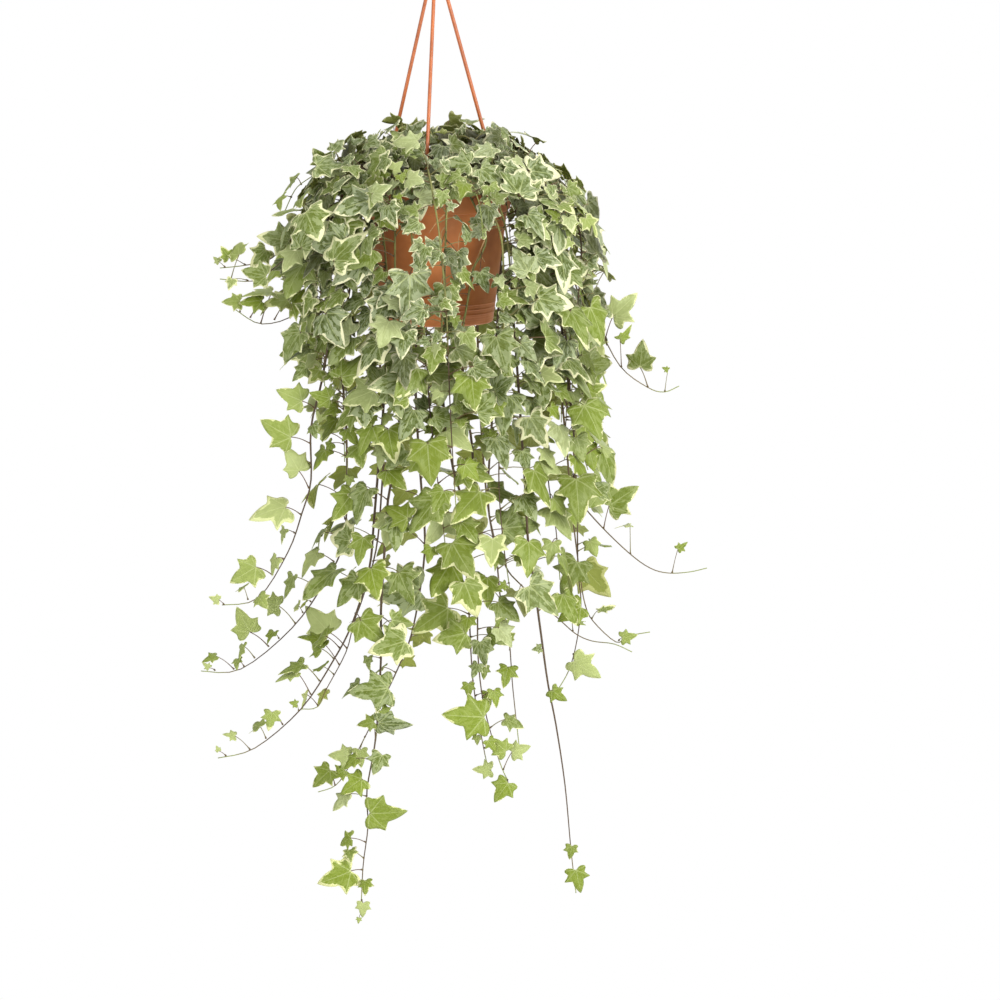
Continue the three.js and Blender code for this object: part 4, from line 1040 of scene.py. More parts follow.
FOLLOWED = (
    Followed("trail_left_high", 25,
        ((330, 200, 20), (298, 232, 25), (272, 258, 25), (247, 265, 20), (220, 268, 15)), 1,
        ((298, 232, 289, 241, 257, 236, 8, 10), (272, 257, 266, 250, 251, 268, 6, -20),
         (246, 265, 229, 258, 221, 246, 2, 0), (225, 267, 219, 262, 213, 257, 2, 0))),
    Followed("trail_left_shoulder", 27,
        ((335, 215, 45), (310, 237, 50), (273, 269, 50), (253, 281, 45), (220, 279, 40)), 1,
        ((306, 240, 296, 250, 282, 271, 10, 15), (270, 271, 266, 276, 241, 271, 6, 0),
         (248, 281, 232, 279, 228, 290, 4, 0))),
    Followed("trail_left_arc", 23,
        ((340, 235, -10), (318, 270, -15), (297, 312, -10), (262, 324, -5), (236, 310, 0)), 2,
        ((262, 324, 272, 292, 243, 289, 14, 65), (275, 322, 288, 300, 262, 301, 8, 30),
         (250, 318, 262, 301, 240, 300, 6, 30), (240, 312, 240, 301, 222, 301, 4, 10))),
    Followed("trail_left_outer", 29,
        ((345, 250, 75), (334, 310, 85), (322, 380, 85), (311, 428, 80), (311, 480, 75), (302, 513, 70),
         (288, 552, 65), (258, 598, 60), (222, 605, 55)), 2,
        ((322, 378, 306, 367, 292, 379, 8, 20), (321, 376, 320, 370, 308, 384, 6, 0),
         (317, 409, 302, 401, 277, 391, 8, 0), (318, 402, 330, 398, 309, 394, 8, -20),
         (309, 444, 291, 437, 261, 422, 8, 0), (308, 488, 299, 471, 287, 448, 8, 15),
         (303, 514, 286, 507, 249, 513, 10, 40), (291, 549, 280, 537, 288, 523, 3, 80),
         (271, 574, 256, 567, 230, 583, 6, 10), (224, 605, 219, 600, 209, 597, 2, 0))),
    Followed("trail_left_sweep", 21,
        ((352, 270, -45), (340, 347, -55), (345, 409, -55), (347, 470, -50), (344, 540, -45),
         (326, 580, -40), (292, 628, -30), (241, 669, -20), (201, 671, -10)), 4,
        ((345, 443, 331, 433, 318, 411, 8, 0), (330, 560, 318, 553, 296, 572, 4, 60),
         (320, 590, 293, 576, 283, 599, 4, 60), (296, 624, 279, 606, 257, 600, 6, 10),
         (269, 647, 250, 632, 237, 609, 5, 0), (234, 669, 216, 656, 201, 660, 3, 60),
         (215, 672, 209, 668, 203, 663, 2, 0))),
    Followed("trail_left_low", 31,
        ((385, 250, 100), (388, 320, 110), (384, 400, 110), (379, 460, 105), (374, 520, 100),
         (369, 570, 95), (352, 624, 90), (333, 661, 85), (301, 709, 80), (255, 748, 70),
         (218, 758, 65)), 7,
        ((318, 680, 303, 664, 277, 673, 5, 60), (313, 696, 297, 672, 274, 677, 3, 75),
         (284, 726, 272, 712, 269, 731, 6, 0), (300, 711, 297, 704, 289, 702, 2, 0),
         (250, 750, 235, 736, 223, 733, 3, 40), (226, 756, 219, 751, 216, 746, 1, 0))),
    Followed("trail_left_inner", 17,
        ((372, 250, -70), (378, 340, -80), (384, 430, -80), (381, 500, -75), (376, 550, -70),
         (363, 597, -65), (354, 622, -60), (346, 652, -58), (327, 688, -55), (317, 707, -50),
         (302, 709, -45)), 6,
        ((345, 648, 329, 632, 306, 609, 8, 0), (332, 661, 320, 640, 300, 633, 6, 50))),
    Followed("trail_longest", 33,
        ((395, 262, 118), (401, 340, 122), (400, 400, 120), (397, 455, 115), (388, 500, 112),
         (384, 560, 110), (381, 610, 108), (381, 658, 105), (376, 736, 100), (367, 790, 98),
         (368, 826, 95), (363, 867, 92), (361, 915, 90)), 6,
        ((399, 285, 388, 298, 372, 329, 8, -10), (381, 616, 405, 641, 368, 653, 8, 0),
         (380, 674, 388, 688, 349, 693, 8, 0), (376, 738, 379, 723, 413, 727, 6, 45),
         (374, 740, 374, 722, 358, 725, 6, 0), (367, 786, 362, 779, 340, 793, 6, 10),
         (368, 822, 370, 813, 407, 815, 6, 20), (362, 870, 351, 871, 318, 886, 5, 0),
         (363, 900, 363, 903, 362, 918, 3, 0), (360, 914, 359, 918, 358, 924, 1, 0))),
    Followed("trail_back_left", 13,
        ((418, 262, -100), (416, 340, -105), (416, 400, -105), (420, 470, -100), (425, 540, -95),
         (420, 590, -92), (411, 636, -90), (399, 666, -88), (383, 700, -85), (366, 735, -80),
         (350, 765, -78), (336, 785, -74), (318, 792, -70)), 6,
        ((420, 584, 419, 590, 370, 594, 8, 0), (366, 735, 360, 750, 361, 768, 6, 10),
         (352, 760, 350, 756, 329, 755, 6, 20), (345, 772, 345, 770, 330, 778, 6, 0),
         (336, 785, 330, 770, 312, 787, 5, 20))),
    Followed("trail_front_middle", 37,
        ((446, 230, 112), (444, 290, 118), (441, 350, 120), (444, 410, 118), (453, 468, 114),
         (460, 492, 112), (467, 518, 112), (470, 560, 110), (477, 608, 108), (478, 656, 106),
         (484, 706, 103), (499, 760, 98), (508, 781, 95)), 8,
        ((446, 232, 440, 250, 412, 257, 8, 0), (446, 240, 457, 252, 455, 284, 6, 30),
         (444, 270, 446, 287, 443, 317, 6, 0), (478, 650, 480, 642, 484, 668, 6, 30),
         (478, 672, 478, 664, 471, 678, 4, 30), (484, 712, 484, 717, 442, 716, 8, 0),
         (505, 769, 512, 752, 530, 746, 4, 0), (495, 755, 506, 751, 490, 738, 4, 0),
         (507, 780, 508, 783, 494, 803, 3, 0))),
    Followed("trail_front_pale", 38,
        ((486, 235, 100), (473, 270, 106), (467, 305, 106), (462, 340, 106), (465, 400, 104),
         (472, 445, 100), (472, 480, 97), (468, 520, 93), (466, 561, 90), (469, 611, 87), (473, 681, 83),
         (483, 745, 79), (490, 775, 77)), 9,
        ((486, 236, 488, 207, 489, 231, 8, 0), (480, 252, 480, 272, 487, 293, 5, 0),
         (468, 614, 448, 608, 411, 632, 8, 10), (473, 648, 466, 633, 433, 639, 6, 0),
         (490, 765, 491, 770, 473, 770, 4, 0))),
    Followed("trail_back_right", 8,
        ((500, 235, -100), (497, 330, -108), (492, 420, -105), (488, 500, -100), (496, 553, -96),
         (501, 603, -92), (509, 641, -90), (511, 663, -88), (513, 690, -86), (519, 745, -84)), 5,
        ((509, 641, 503, 634, 500, 608, 5, 60), (510, 650, 508, 640, 509, 626, 3, 30),
         (511, 668, 508, 667, 504, 686, 14, 0))),
    Followed("trail_front_right", 40,
        ((505, 225, 105), (512, 300, 112), (518, 380, 110), (522, 440, 106), (526, 500, 102),
         (528, 540, 100), (535, 590, 97), (541, 634, 95), (548, 684, 92), (556, 725, 90), (565, 785, 87),
         (571, 850, 84), (576, 893, 82)), 7,
        ((542, 655, 541, 648, 532, 650, 3, 0), (549, 692, 552, 690, 566, 702, 4, 20),
         (571, 850, 572, 846, 570, 860, 3, 0), (576, 885, 576, 870, 582, 893, 3, 0))),
    Followed("trail_right_hook", 44,
        ((545, 240, 60), (562, 330, 68), (570, 400, 68), (576, 460, 66), (573, 483, 66), (577, 520, 65),
         (578, 570, 63), (581, 603, 62), (577, 640, 60), (569, 670, 58), (557, 691, 56)), 5,
        ((578, 545, 590, 541, 597, 557, 4, 20), (578, 560, 577, 562, 562, 596, 8, 0),
         (580, 612, 581, 607, 557, 620, 6, 10), (577, 655, 574, 661, 600, 680, 4, 30))),
    Followed("trail_right_arc", 47,
        ((545, 215, 10), (566, 255, 8), (582, 303, 5), (597, 324, 2), (620, 366, 0), (647, 387, -3),
         (664, 392, -5), (679, 386, -8)), 3,
        ((605, 339, 613, 316, 637, 295, 5, 0), (620, 367, 620, 339, 634, 328, 4, 50),
         (647, 387, 640, 367, 643, 340, 4, 0), (664, 392, 668, 370, 662, 367, 1, 0))),
    Followed("trail_right_outer", 4,
        ((550, 260, -45), (566, 340, -52), (572, 420, -52), (575, 475, -50), (580, 500, -48),
         (600, 525, -44), (629, 553, -40), (650, 568, -36), (668, 573, -33), (689, 572, -30),
         (707, 568, -28)), 5,
        ((604, 528, 609, 506, 637, 486, 5, 0), (631, 553, 630, 525, 614, 526, 3, 75),
         (672, 570, 678, 549, 688, 543, 2, 30))),
    Followed("trail_back_sweep", 10,
        ((475, 255, -115), (478, 350, -122), (482, 440, -120), (490, 520, -115), (505, 565, -110),
         (519, 583, -106), (541, 603, -100), (561, 621, -95), (576, 634, -90), (592, 641, -86),
         (614, 644, -82), (632, 652, -80)), 8),
    Followed("trail_right_curl", 6,
        ((540, 262, -75), (556, 350, -82), (565, 430, -82), (572, 510, -78), (580, 575, -74),
         (585, 604, -72), (593, 621, -70), (616, 642, -66), (628, 636, -64), (650, 632, -62)), 5,
        ((593, 618, 599, 610, 616, 607, 2, 70), (620, 643, 622, 638, 638, 635, 3, 20))),
    Followed("trail_right_front", 41,
        ((525, 235, 85), (533, 300, 92), (537, 341, 93), (539, 380, 92), (536, 409, 90), (541, 428, 88),
         (546, 450, 87), (549, 487, 85), (556, 530, 82), (560, 580, 80))),
    Followed("trail_right_short", 45,
        ((535, 230, 40), (549, 290, 45), (551, 341, 46), (556, 375, 46), (567, 406, 44), (578, 440, 42),
         (588, 470, 38)), 0,
        ((570, 410, 583, 393, 606, 386, 6, 10),)),
    Followed("trail_front_left", 34,
        ((412, 240, 128), (420, 300, 134), (427, 360, 134), (429, 400, 132), (434, 450, 128),
         (440, 500, 124), (447, 560, 120)), 0,
        ((413, 262, 410, 275, 411, 324, 7, -15), (414, 240, 419, 222, 402, 233, 6, 0))),
    Followed("trail_front_short", 39,
        ((500, 232, 122), (503, 300, 130), (504, 376, 130), (504, 409, 128), (500, 440, 126),
         (499, 487, 122), (503, 540, 118), (510, 590, 114))),
)

# The dry rootlets that hang off the front stems, each as seen points across and down
ROOTLETS = {
    "trail_front_middle": (((446, 213), (437, 222), (429, 233)), ((445, 226), (441, 234), (447, 247)),
                           ((446, 268), (441, 283), (436, 292))),
    "trail_front_pale": (((486, 240), (470, 272), (455, 278)), ((472, 250), (480, 254), (485, 262)),
                         ((471, 282), (468, 302), (461, 325)), ((473, 236), (462, 230), (458, 250))),
}

# The slots of the shorter stems that hang all round in between
SKIRT_SLOTS = (1, 3, 5, 9, 12, 15, 19, 22, 26, 28, 30, 35, 42, 46)


@dataclass(frozen=True)
class CrownRing:
    """One ring of the crown's arching shoots."""

    count: int
    root: float
    rise: float
    reach: float
    first: float


CROWN_RINGS = (CrownRing(9, 17.0, 28.0, 150.0, 8.0), CrownRing(5, 8.0, 46.0, 104.0, 30.0))


def sighted(across: float, down: float, forward: float) -> Vector:
    """Where a sighted point really is.

    Args:
        across: How far across, from the left of the sighting plane.
        down: How far down, from its top.
        forward: How far in front of the pot's middle.

    Returns:
        The point.
    """
    u, v = across - SIGHT_CENTRE, SIGHT_CENTRE - down
    rise = ((v * EYE_DISTANCE - v * forward * EYE_COS + EYE_DISTANCE * forward * EYE_SIN)
            / (EYE_DISTANCE * EYE_COS + v * EYE_SIN))
    x = u * (EYE_DISTANCE - forward * EYE_COS - rise * EYE_SIN) / EYE_DISTANCE
    return Vector((AIM_X + x, -forward, AIM_Z + rise))


def seen_at(point: Vector) -> tuple[float, float]:
    """Where a point is seen on the sighting plane.

    Args:
        point: The point.

    Returns:
        How far across and how far down.
    """
    rise = point.z - AIM_Z
    scale = EYE_DISTANCE / (EYE_DISTANCE + point.y * EYE_COS - rise * EYE_SIN)
    return (SIGHT_CENTRE + (point.x - AIM_X) * scale,
            SIGHT_CENTRE - (rise * EYE_COS + point.y * EYE_SIN) * scale)


def foot_on(line: Sequence[Vector], across: float, down: float) -> float:
    """How far along a line, past its arch, it is seen nearest to a sighted foot.

    Args:
        line: The line.
        across: The foot's place across.
        down: The foot's place down.

    Returns:
        The distance along the line.
    """
    best, found, length = math.inf, 0.0, 0.0
    for i, (one, two) in enumerate(zip(line, line[1:])):
        span = (two - one).length
        if i >= ARCH_POINTS:
            (ax, ay), (bx, by) = seen_at(one), seen_at(two)
            dx, dy = bx - ax, by - ay
            share = ((across - ax) * dx + (down - ay) * dy) / (dx * dx + dy * dy)
            share = min(0.95, max(0.05, share))
            off = math.hypot(ax + share * dx - across, ay + share * dy - down)
            if off < best:
                best, found = off, length + share * span
        length += span
    return found


def lengths_along(line: Sequence[Vector]) -> list[float]:
    """How far along a line each of its points lies."""
    return list(accumulate(((two - one).length for one, two in zip(line, line[1:])), initial=0.0))


def root_points(place: Vector) -> list[Vector]:
    """The first points of a stem, straight up out of the soil."""
    level = SOIL_Z + SOIL_MOUND * 0.5
    return [Vector((place.x, place.y, level + rise)) for rise in (-ROOT_DEPTH, -ROOT_DEPTH / 2, 0, 7)]


def over_rim(slot: int, lift: float) -> list[Vector]:
    """The stem's points inside the rim and over it."""
    angle, inside = slot * SLOT_DEGREES, 0.45 * ROOT_RADII[slot % 4] + 38
    return [polar(inside, angle, RIM_Z + lift * 0.8), polar(OVER_RADIUS, angle, RIM_Z + lift)]


def smooth_line(points: Sequence[Vector]) -> list[Vector]:
    """The line of a stem: its own points, with one more between each two along the arch over the rim.

    Args:
        points: The stem's points.

    Returns:
        The line.
    """
    line: list[Vector] = []
    for i, point in enumerate(points):
        line.append(point.copy())
        if i < ROOT_POINTS - 1 or i > ARCH_POINTS or i + 1 >= len(points):
            continue
        after = points[min(i + 2, len(points) - 1)]
        line.append((points[i - 1] + after) * (-1 / 16) + (point + points[i + 1]) * (9 / 16))
    return line


def finer(line: Sequence[Vector]) -> list[Vector]:
    """A smooth curve through all the points of a line."""
    steps = [(i, k / CURVE_STEPS) for i in range(len(line) - 1) for k in range(CURVE_STEPS)]
    return [on_curve(line, segment, share) for segment, share in steps] + [line[-1].copy()]


def on_curve(line: Sequence[Vector], segment: int, share: float) -> Vector:
    """The point of the smooth curve at a share of one of the line's segments.

    Args:
        line: The line.
        segment: The segment's number.
        share: The share of it, 0 to 1.

    Returns:
        The point.
    """
    a, b = line[max(segment - 1, 0)], line[segment]
    c, d = line[segment + 1], line[min(segment + 2, len(line) - 1)]
    t, t2, t3 = share, share * share, share ** 3
    return (b * 2 + (c - a) * t + (a * 2 - b * 5 + c * 4 - d) * t2 + (b * 3 - a - c * 3 + d) * t3) / 2


@dataclass
class Site:
    """A place on a stem where a leaf may grow, with how much of the stem is left beyond it."""

    place: Vector
    forward: Vector
    left: float
    size: float
    randoms: Sequence[float]
    side: float
    carried: bool


@dataclass
class Stem:
    """One stem, from its root to its tip."""

    name: str
    kind: StemKind
    index: int
    points: list[Vector]
    bare: tuple[float, float] | None = None
    seen: tuple[tuple[float, ...], ...] = ()
    line: list[Vector] = field(default_factory=list)
    reaches: list[float] = field(default_factory=list)
    feet: list[float] = field(default_factory=list)
    leaves: list["Stand"] = field(default_factory=list)

    SPACING = {StemKind.TRAIL: 23.0, StemKind.SKIRT: 22.0, StemKind.CROWN: 17.0}
    SPACING_LOW = 35.0
    LOW_Z = RIM_Z - 390
    CARRIED_EVERY = {StemKind.TRAIL: 5, StemKind.SKIRT: 3, StemKind.CROWN: 1}
    FIRST_SITE = {StemKind.TRAIL: 62.0, StemKind.SKIRT: 58.0, StemKind.CROWN: 34.0}
    LAST_SITE = 4.0
    LAST_FURTHER = 20.0
    LAST_ON_BARE = 8.0
    LEAF_LENGTH = {StemKind.TRAIL: 33.0, StemKind.SKIRT: 32.0, StemKind.CROWN: 30.0}
    LEAF_DRAWS = 10
    BESIDE_SEEN = 18.0

    def attempt_line(self, attempt: int) -> list[Vector]:
        """The stem's line as one of the attempts pushes it outwards and aside.

        Args:
            attempt: The attempt's number.

        Returns:
            The line.
        """
        aside = (1 if attempt % 2 else -1) * attempt * PUSH_ASIDE
        points = self.points[:ROOT_POINTS]
        for i, point in enumerate(self.points[ROOT_POINTS:], 1):
            ease = min(1.0, i / 3)
            outward = Vector((point.x, point.y, 0)).normalized()
            points.append(Quaternion(UP, aside * ease) @ (point + outward * (PUSH_OUT * attempt * ease)))
        return smooth_line(points)

    def follow(self, line: list[Vector]) -> None:
        """Take a line, and measure how far along it each of its points lies."""
        self.line = line
        self.reaches = lengths_along(line)

    def site_at(self, reached: float, size: float = 1.0, randoms: Sequence[float] = (), side: float = 1.0,
                carried: bool = False) -> Site:
        """A site at a distance along the line.

        Args:
            reached: The distance.
            size: The leaf's length.
            randoms: Its draws.
            side: Which side of the stem it grows on, 1 or -1.
            carried: Whether the solid may carry it.

        Returns:
            The site.
        """
        segment = max(i for i, first in enumerate(self.reaches[:-1]) if first <= reached or i == 0)
        start, end = self.reaches[segment], self.reaches[segment + 1]
        one, two = self.line[segment], self.line[segment + 1]
        place = one.lerp(two, (reached - start) / (end - start))
        left = self.reaches[-1] - reached
        return Site(place, (two - one).normalized(), left, size, randoms, side, carried)

    def seen_sites(self) -> Iterator[tuple[Site, tuple[float, ...]]]:
        """The sites of the leaves that were told apart.

        Yields:
            Each site, with the leaf's sighted numbers.
        """
        draw = Draws(SEEN_SEED + self.index)
        self.feet = [foot_on(self.line, leaf[0], leaf[1]) for leaf in self.seen]
        for reached, leaf in zip(self.feet, self.seen):
            yield self.site_at(reached, 0.0, draw.several(3), 1.0, True), leaf

    def bare_from(self) -> float:
        """How far along the line the leaves that follow the rule go."""
        return foot_on(self.line, *self.bare) if self.bare else self.reaches[-1]

    def is_apart(self, reached: float, least: float) -> bool:
        """Whether a place along the stem is far enough from every leaf that was told apart by eye."""
        return all(abs(foot - reached) > least for foot in self.feet)

    def sites(self) -> Iterator[Site]:
        """The sites along the stem that follow the rule, from its root to its tip.

        Yields:
            Each site.
        """
        draw = Draws(RULE_SEED + 37 * self.index + self.kind.value)
        total = self.reaches[-1]
        reached = self.FIRST_SITE[self.kind]
        end = min(total - self.LAST_SITE, self.bare_from())
        count = 0
        while reached < end:
            left = total - reached
            low = self.kind is StemKind.TRAIL and self.site_at(reached).place.z < self.LOW_Z
            ending = min(1.0, 0.4 + left / 110)
            size = self.LEAF_LENGTH[self.kind] * ending * (0.66 + 0.66 * draw())
            randoms = draw.several(self.LEAF_DRAWS)
            carried = low or count % self.CARRIED_EVERY[self.kind] == 0 or left < self.SPACING_LOW
            if self.is_apart(reached, self.BESIDE_SEEN):
                yield self.site_at(reached, size, randoms, 1.0 if count % 2 else -1.0, carried)
            count += 1
            reached += (self.SPACING_LOW if low else self.SPACING[self.kind]) * (0.84 + 0.32 * draw())

    def more_sites(self, more: "Further") -> Iterator[Site]:
        """Further sites between the others, where the plant is dense.

        Args:
            more: Where they are and how large their leaves grow.

        Yields:
            Each site.
        """
        draw = Draws(more.seed + 61 * self.index + self.kind.value)
        total, bare_from = self.reaches[-1], self.bare_from()
        reached = bare_from if more.on_bare else self.FIRST_SITE[self.kind] * draw.between(0.5, 1.0)
        end = total - self.LAST_ON_BARE if more.on_bare else min(total - self.LAST_FURTHER, bare_from)
        while reached < end:
            size = self.LEAF_LENGTH[self.kind] * draw.between(*more.sizes)
            randoms = draw.several(self.LEAF_DRAWS)
            site = self.site_at(reached, size, randoms, 1.0 if draw() < 0.5 else -1.0)
            if self.is_apart(reached, self.BESIDE_SEEN * 0.6) and more.is_for(site.place):
                yield site
            reached += more.spacing * draw.between(0.7, 1.3)


@dataclass(frozen=True)
class Lean:
    """How strongly a stalk, a blade's face and its midrib lean each way, and how far draws spread them."""

    stalk_aside: float = 0.8
    stalk_outward: float = 0.15
    stalk_outward_steep: float = 0.45
    stalk_up: float = 0.25
    stalk_up_flat: float = 0.5
    stalk_spread: float = 0.5
    stalk_least: float = 3.0
    stalk_share: float = 0.5
    stalk_share_spread: float = 0.35
    stalk_each: float = 0.07
    face_outward: float = 0.66
    face_up: float = 0.55
    face_aside: float = 0.2
    face_front: float = 0.28
    face_spread: float = 0.8
    face_reach: float = 80.0
    rib_outward: float = 0.5
    rib_down: float = 0.75
    rib_aside: float = 0.2
    rib_stalk: float = 0.5
    rib_spread: float = 1.2
    rib_twist: float = 2.0
    swing: float = 0.35
    swing_outward: float = 0.2
    swing_up: float = 0.25
    swing_twist: float = 1.4


LEAN = Lean()
# The leaves that stand up out of the crown and look outwards
UPRIGHT = Lean(stalk_aside=0.35, stalk_up=1.0, stalk_share=0.85, face_outward=0.9, face_up=0.35,
               face_front=0.0, face_spread=1.3, rib_down=-0.05, rib_spread=2.0)
# The leaves that fill in between the others, turned every way
TURNED = Lean(stalk_spread=1.0, face_spread=1.6, rib_spread=1.8)


@dataclass(frozen=True)
class Further:
    """A round of further leaves: how far apart, where and how large they grow, and how they lean."""

    seed: int
    spacing: float
    sizes: tuple[float, float]
    lowest: float = -2000.0
    highest: float = 0.0
    behind: float = 1000.0
    rightmost: float = 1000.0
    on_bare: bool = False
    lean: Lean = LEAN

    def is_for(self, place: Vector) -> bool:
        """Whether a place is one where this round's leaves grow."""
        return (self.lowest < place.z < self.highest and place.y < self.behind
                and place.x < self.rightmost)


FURTHER = (
    Further(3000, 7.0, (0.6, 1.15), RIM_Z + 5, lean=UPRIGHT),
    Further(3100, 6.0, (0.35, 0.85), RIM_Z - 15, lean=UPRIGHT),
    Further(3200, 6.0, (0.35, 0.9), RIM_Z - 135, RIM_Z + 30, behind=-70.0),
    Further(3300, 3.5, (0.25, 0.6), RIM_Z - 135, RIM_Z + 30, behind=-70.0),
    Further(3400, 8.0, (0.4, 1.1), RIM_Z - 60, lean=TURNED),
    Further(3600, 14.0, (0.3, 1.2), RIM_Z - 240, lean=TURNED),
    Further(3800, 15.0, (0.3, 0.75), rightmost=60.0, on_bare=True),
)
FOLD = (-0.11, 0.19)
CURL = (0.08, 0.32)
CUT = (0.9, 1.15)


@dataclass(frozen=True)
class Stand:
    """How a leaf stands: its stalk's ends, its axes and its form."""

    place: Vector
    joint: Vector
    stalk: Vector
    across: Vector
    midrib: Vector
    normal: Vector
    size: float
    fold: float
    curl: float
    cut: float
    seed: float
    left: float

    LEAST_JOIN = 0.3
    SEEN_FORWARD = 5.0
    SEEN_STEP = 3.0

    @classmethod
    def make(cls, site: Site, joint: Vector, midrib: Vector, normal: Vector, size: float,
             form: Sequence[float], seed: float) -> "Stand | None":
        """A stand from its joint and axes.

        Args:
            site: The site.
            joint: Where the blade starts.
            midrib: The way that the blade points.
            normal: The way that its face looks.
            size: Its length.
            form: Three draws, for its fold, its curl and its cut.
            seed: A draw for its pattern.

        Returns:
            The stand, or nothing where the stalk would fold over the blade.
        """
        stalk = (joint - site.place).normalized()
        if (midrib + normal).normalized().dot(stalk) < cls.LEAST_JOIN:
            return None
        ranges = zip((FOLD, CURL, CUT), form)
        fold, curl, cut = (low + (high - low) * value for (low, high), value in ranges)
        across = midrib.cross(normal).normalized()
        return cls(site.place, joint, stalk, across, midrib, normal, size, fold, curl, cut, seed, site.left)

    @classmethod
    def sighted(cls, site: Site, leaf: Sequence[float], attempt: int) -> "Stand | None":
        """How a leaf that was told apart stands. Each attempt brings it further forward.

        Args:
            site: The site.
            leaf: Its sighted numbers.
            attempt: The number of the attempt.

        Returns:
            The stand, or nothing where the stalk would fold over the blade.
        """
        forward = -site.place.y + cls.SEEN_FORWARD + cls.SEEN_STEP * attempt
        joint = sighted(leaf[2], leaf[3], forward)
        midrib = sighted(leaf[4], leaf[5], forward + leaf[6]) - joint
        size = midrib.length
        midrib.normalize()
        normal = (TO_EYE - midrib * TO_EYE.dot(midrib)).normalized()
        normal = Quaternion(midrib, math.radians(leaf[7])) @ normal
        return cls.make(site, joint, midrib, normal, size, site.randoms, site.randoms[1])

    @classmethod
    def ruled(cls, site: Site, attempt: int, lean: Lean = LEAN) -> "Stand | None":
        """One way for any other leaf to stand at its site.

        Args:
            site: The site.
            attempt: The number of the way.
            lean: How it leans.

        Returns:
            The stand, or nothing where the stalk would fold over the blade.
        """
        r = site.randoms

        def spread(value: float, width: float) -> float:
            """A draw spread about zero."""
            return (value - 0.5) * width

        outward = Vector((site.place.x, site.place.y, 0)).normalized()
        aside = site.forward.cross(outward).normalized() * site.side
        steep = abs(site.forward.z)
        swing = lean.swing * (-(attempt + 1) / 2 if attempt % 2 else attempt / 2)
        outwards = lean.stalk_outward + lean.stalk_outward_steep * steep + lean.swing_outward * swing
        upwards = lean.stalk_up + lean.stalk_up_flat * (1 - steep) + lean.swing_up * swing
        stalk = (aside * (lean.stalk_aside + spread(r[0], lean.stalk_spread))
                 + outward * (outwards + spread(r[1], lean.stalk_spread))
                 + UP * (upwards + spread(r[2], lean.stalk_spread))).normalized()
        share = (lean.stalk_share + lean.stalk_share_spread * r[3]) * (1 + lean.stalk_each * attempt)
        joint = site.place + stalk * (site.size * share + lean.stalk_least)
        reach = min(1.0, math.hypot(site.place.x, site.place.y) / lean.face_reach)
        normal = (outward * (lean.face_outward * reach + spread(r[4], lean.face_spread))
                  + UP * (lean.face_up + spread(r[5], lean.face_spread))
                  + aside * (lean.face_aside + spread(r[6], lean.face_spread))
                  + Vector((0, -lean.face_front, 0))).normalized()
        wish = (outward * lean.rib_outward - UP * lean.rib_down
                + aside * (lean.rib_aside + spread(r[6], lean.rib_spread)) + stalk * lean.rib_stalk)
        midrib = (wish - normal * wish.dot(normal)).normalized()
        midrib = Quaternion(normal, spread(r[7], lean.rib_twist) + lean.swing_twist * swing) @ midrib
        return cls.make(site, joint, midrib, normal, site.size, (r[8], r[9], r[0]), r[4])

    def lift(self, x: float, y: float) -> float:
        """How far a point of the blade stands off its plane, in blade lengths."""
        return self.fold * abs(x) - self.curl * (y * y + 0.5 * x * x)

    def at(self, x: float, y: float) -> Vector:
        """Where a point of the blade is, from its place across and along it in blade lengths."""
        return self.joint + (self.across * x + self.midrib * y + self.normal * self.lift(x, y)) * self.size

    def middle(self) -> Vector:
        """The blade's middle."""
        return self.at(0, 0.4)


Wanted = tuple[Stem, Callable[[int], Stand | None], bool]


def is_before_pot(point: Vector) -> bool:
    """Whether a point hangs in front of the pot, where the stems are young and thin."""
    return point.y < -RIM_RADIUS and BASE_Z - 20 < point.z < RIM_Z + 30 and abs(point.x) < RIM_RADIUS


def trail_stem(index: int, way: Followed) -> Stem:
    """A trail that can be followed, before its line is known.

    Args:
        index: The trail's number.
        way: What is seen of it.

    Returns:
        The stem.
    """
    root = polar(ROOT_RADII[way.slot % 4], way.slot * SLOT_DEGREES, 0)
    lift = 10 + 4 * (3 - way.slot % 4)
    points = [*root_points(root), *over_rim(way.slot, lift), *(sighted(*point) for point in way.seen)]
    bare = way.seen[way.bare][:2] if way.bare else None
    return Stem(way.name, StemKind.TRAIL, index, points, bare, way.leaves)


def skirt_stem(index: int, slot: int) -> Stem:
    """One of the shorter stems between the trails, before its line is known.

    Args:
        index: The stem's number.
        slot: Its slot round the rim.

    Returns:
        The stem.
    """
    draw = Draws(SKIRT_SEED + slot)
    angle = slot * SLOT_DEGREES
    lift = 9 + 5 * (slot % 3) + 6 * draw()
    reach = 112 + 22 * draw() + 15 * math.cos(math.radians(angle))
    drop = 180 + 130 * draw()
    sway = 14 * (draw() - 0.5)
    points = root_points(polar(ROOT_RADII[slot % 4], angle, 0)) + over_rim(slot, lift)
    for out, share, fall in ((0, 0.4, 30), (8, 0.8, 0.38 * drop), (4, 1.0, 0.7 * drop), (2, 1.3, drop)):
        points.append(polar(reach + out, angle + share * sway, RIM_Z - fall))
    return Stem(f"skirt_{index + 1:02d}", StemKind.SKIRT, index, points)


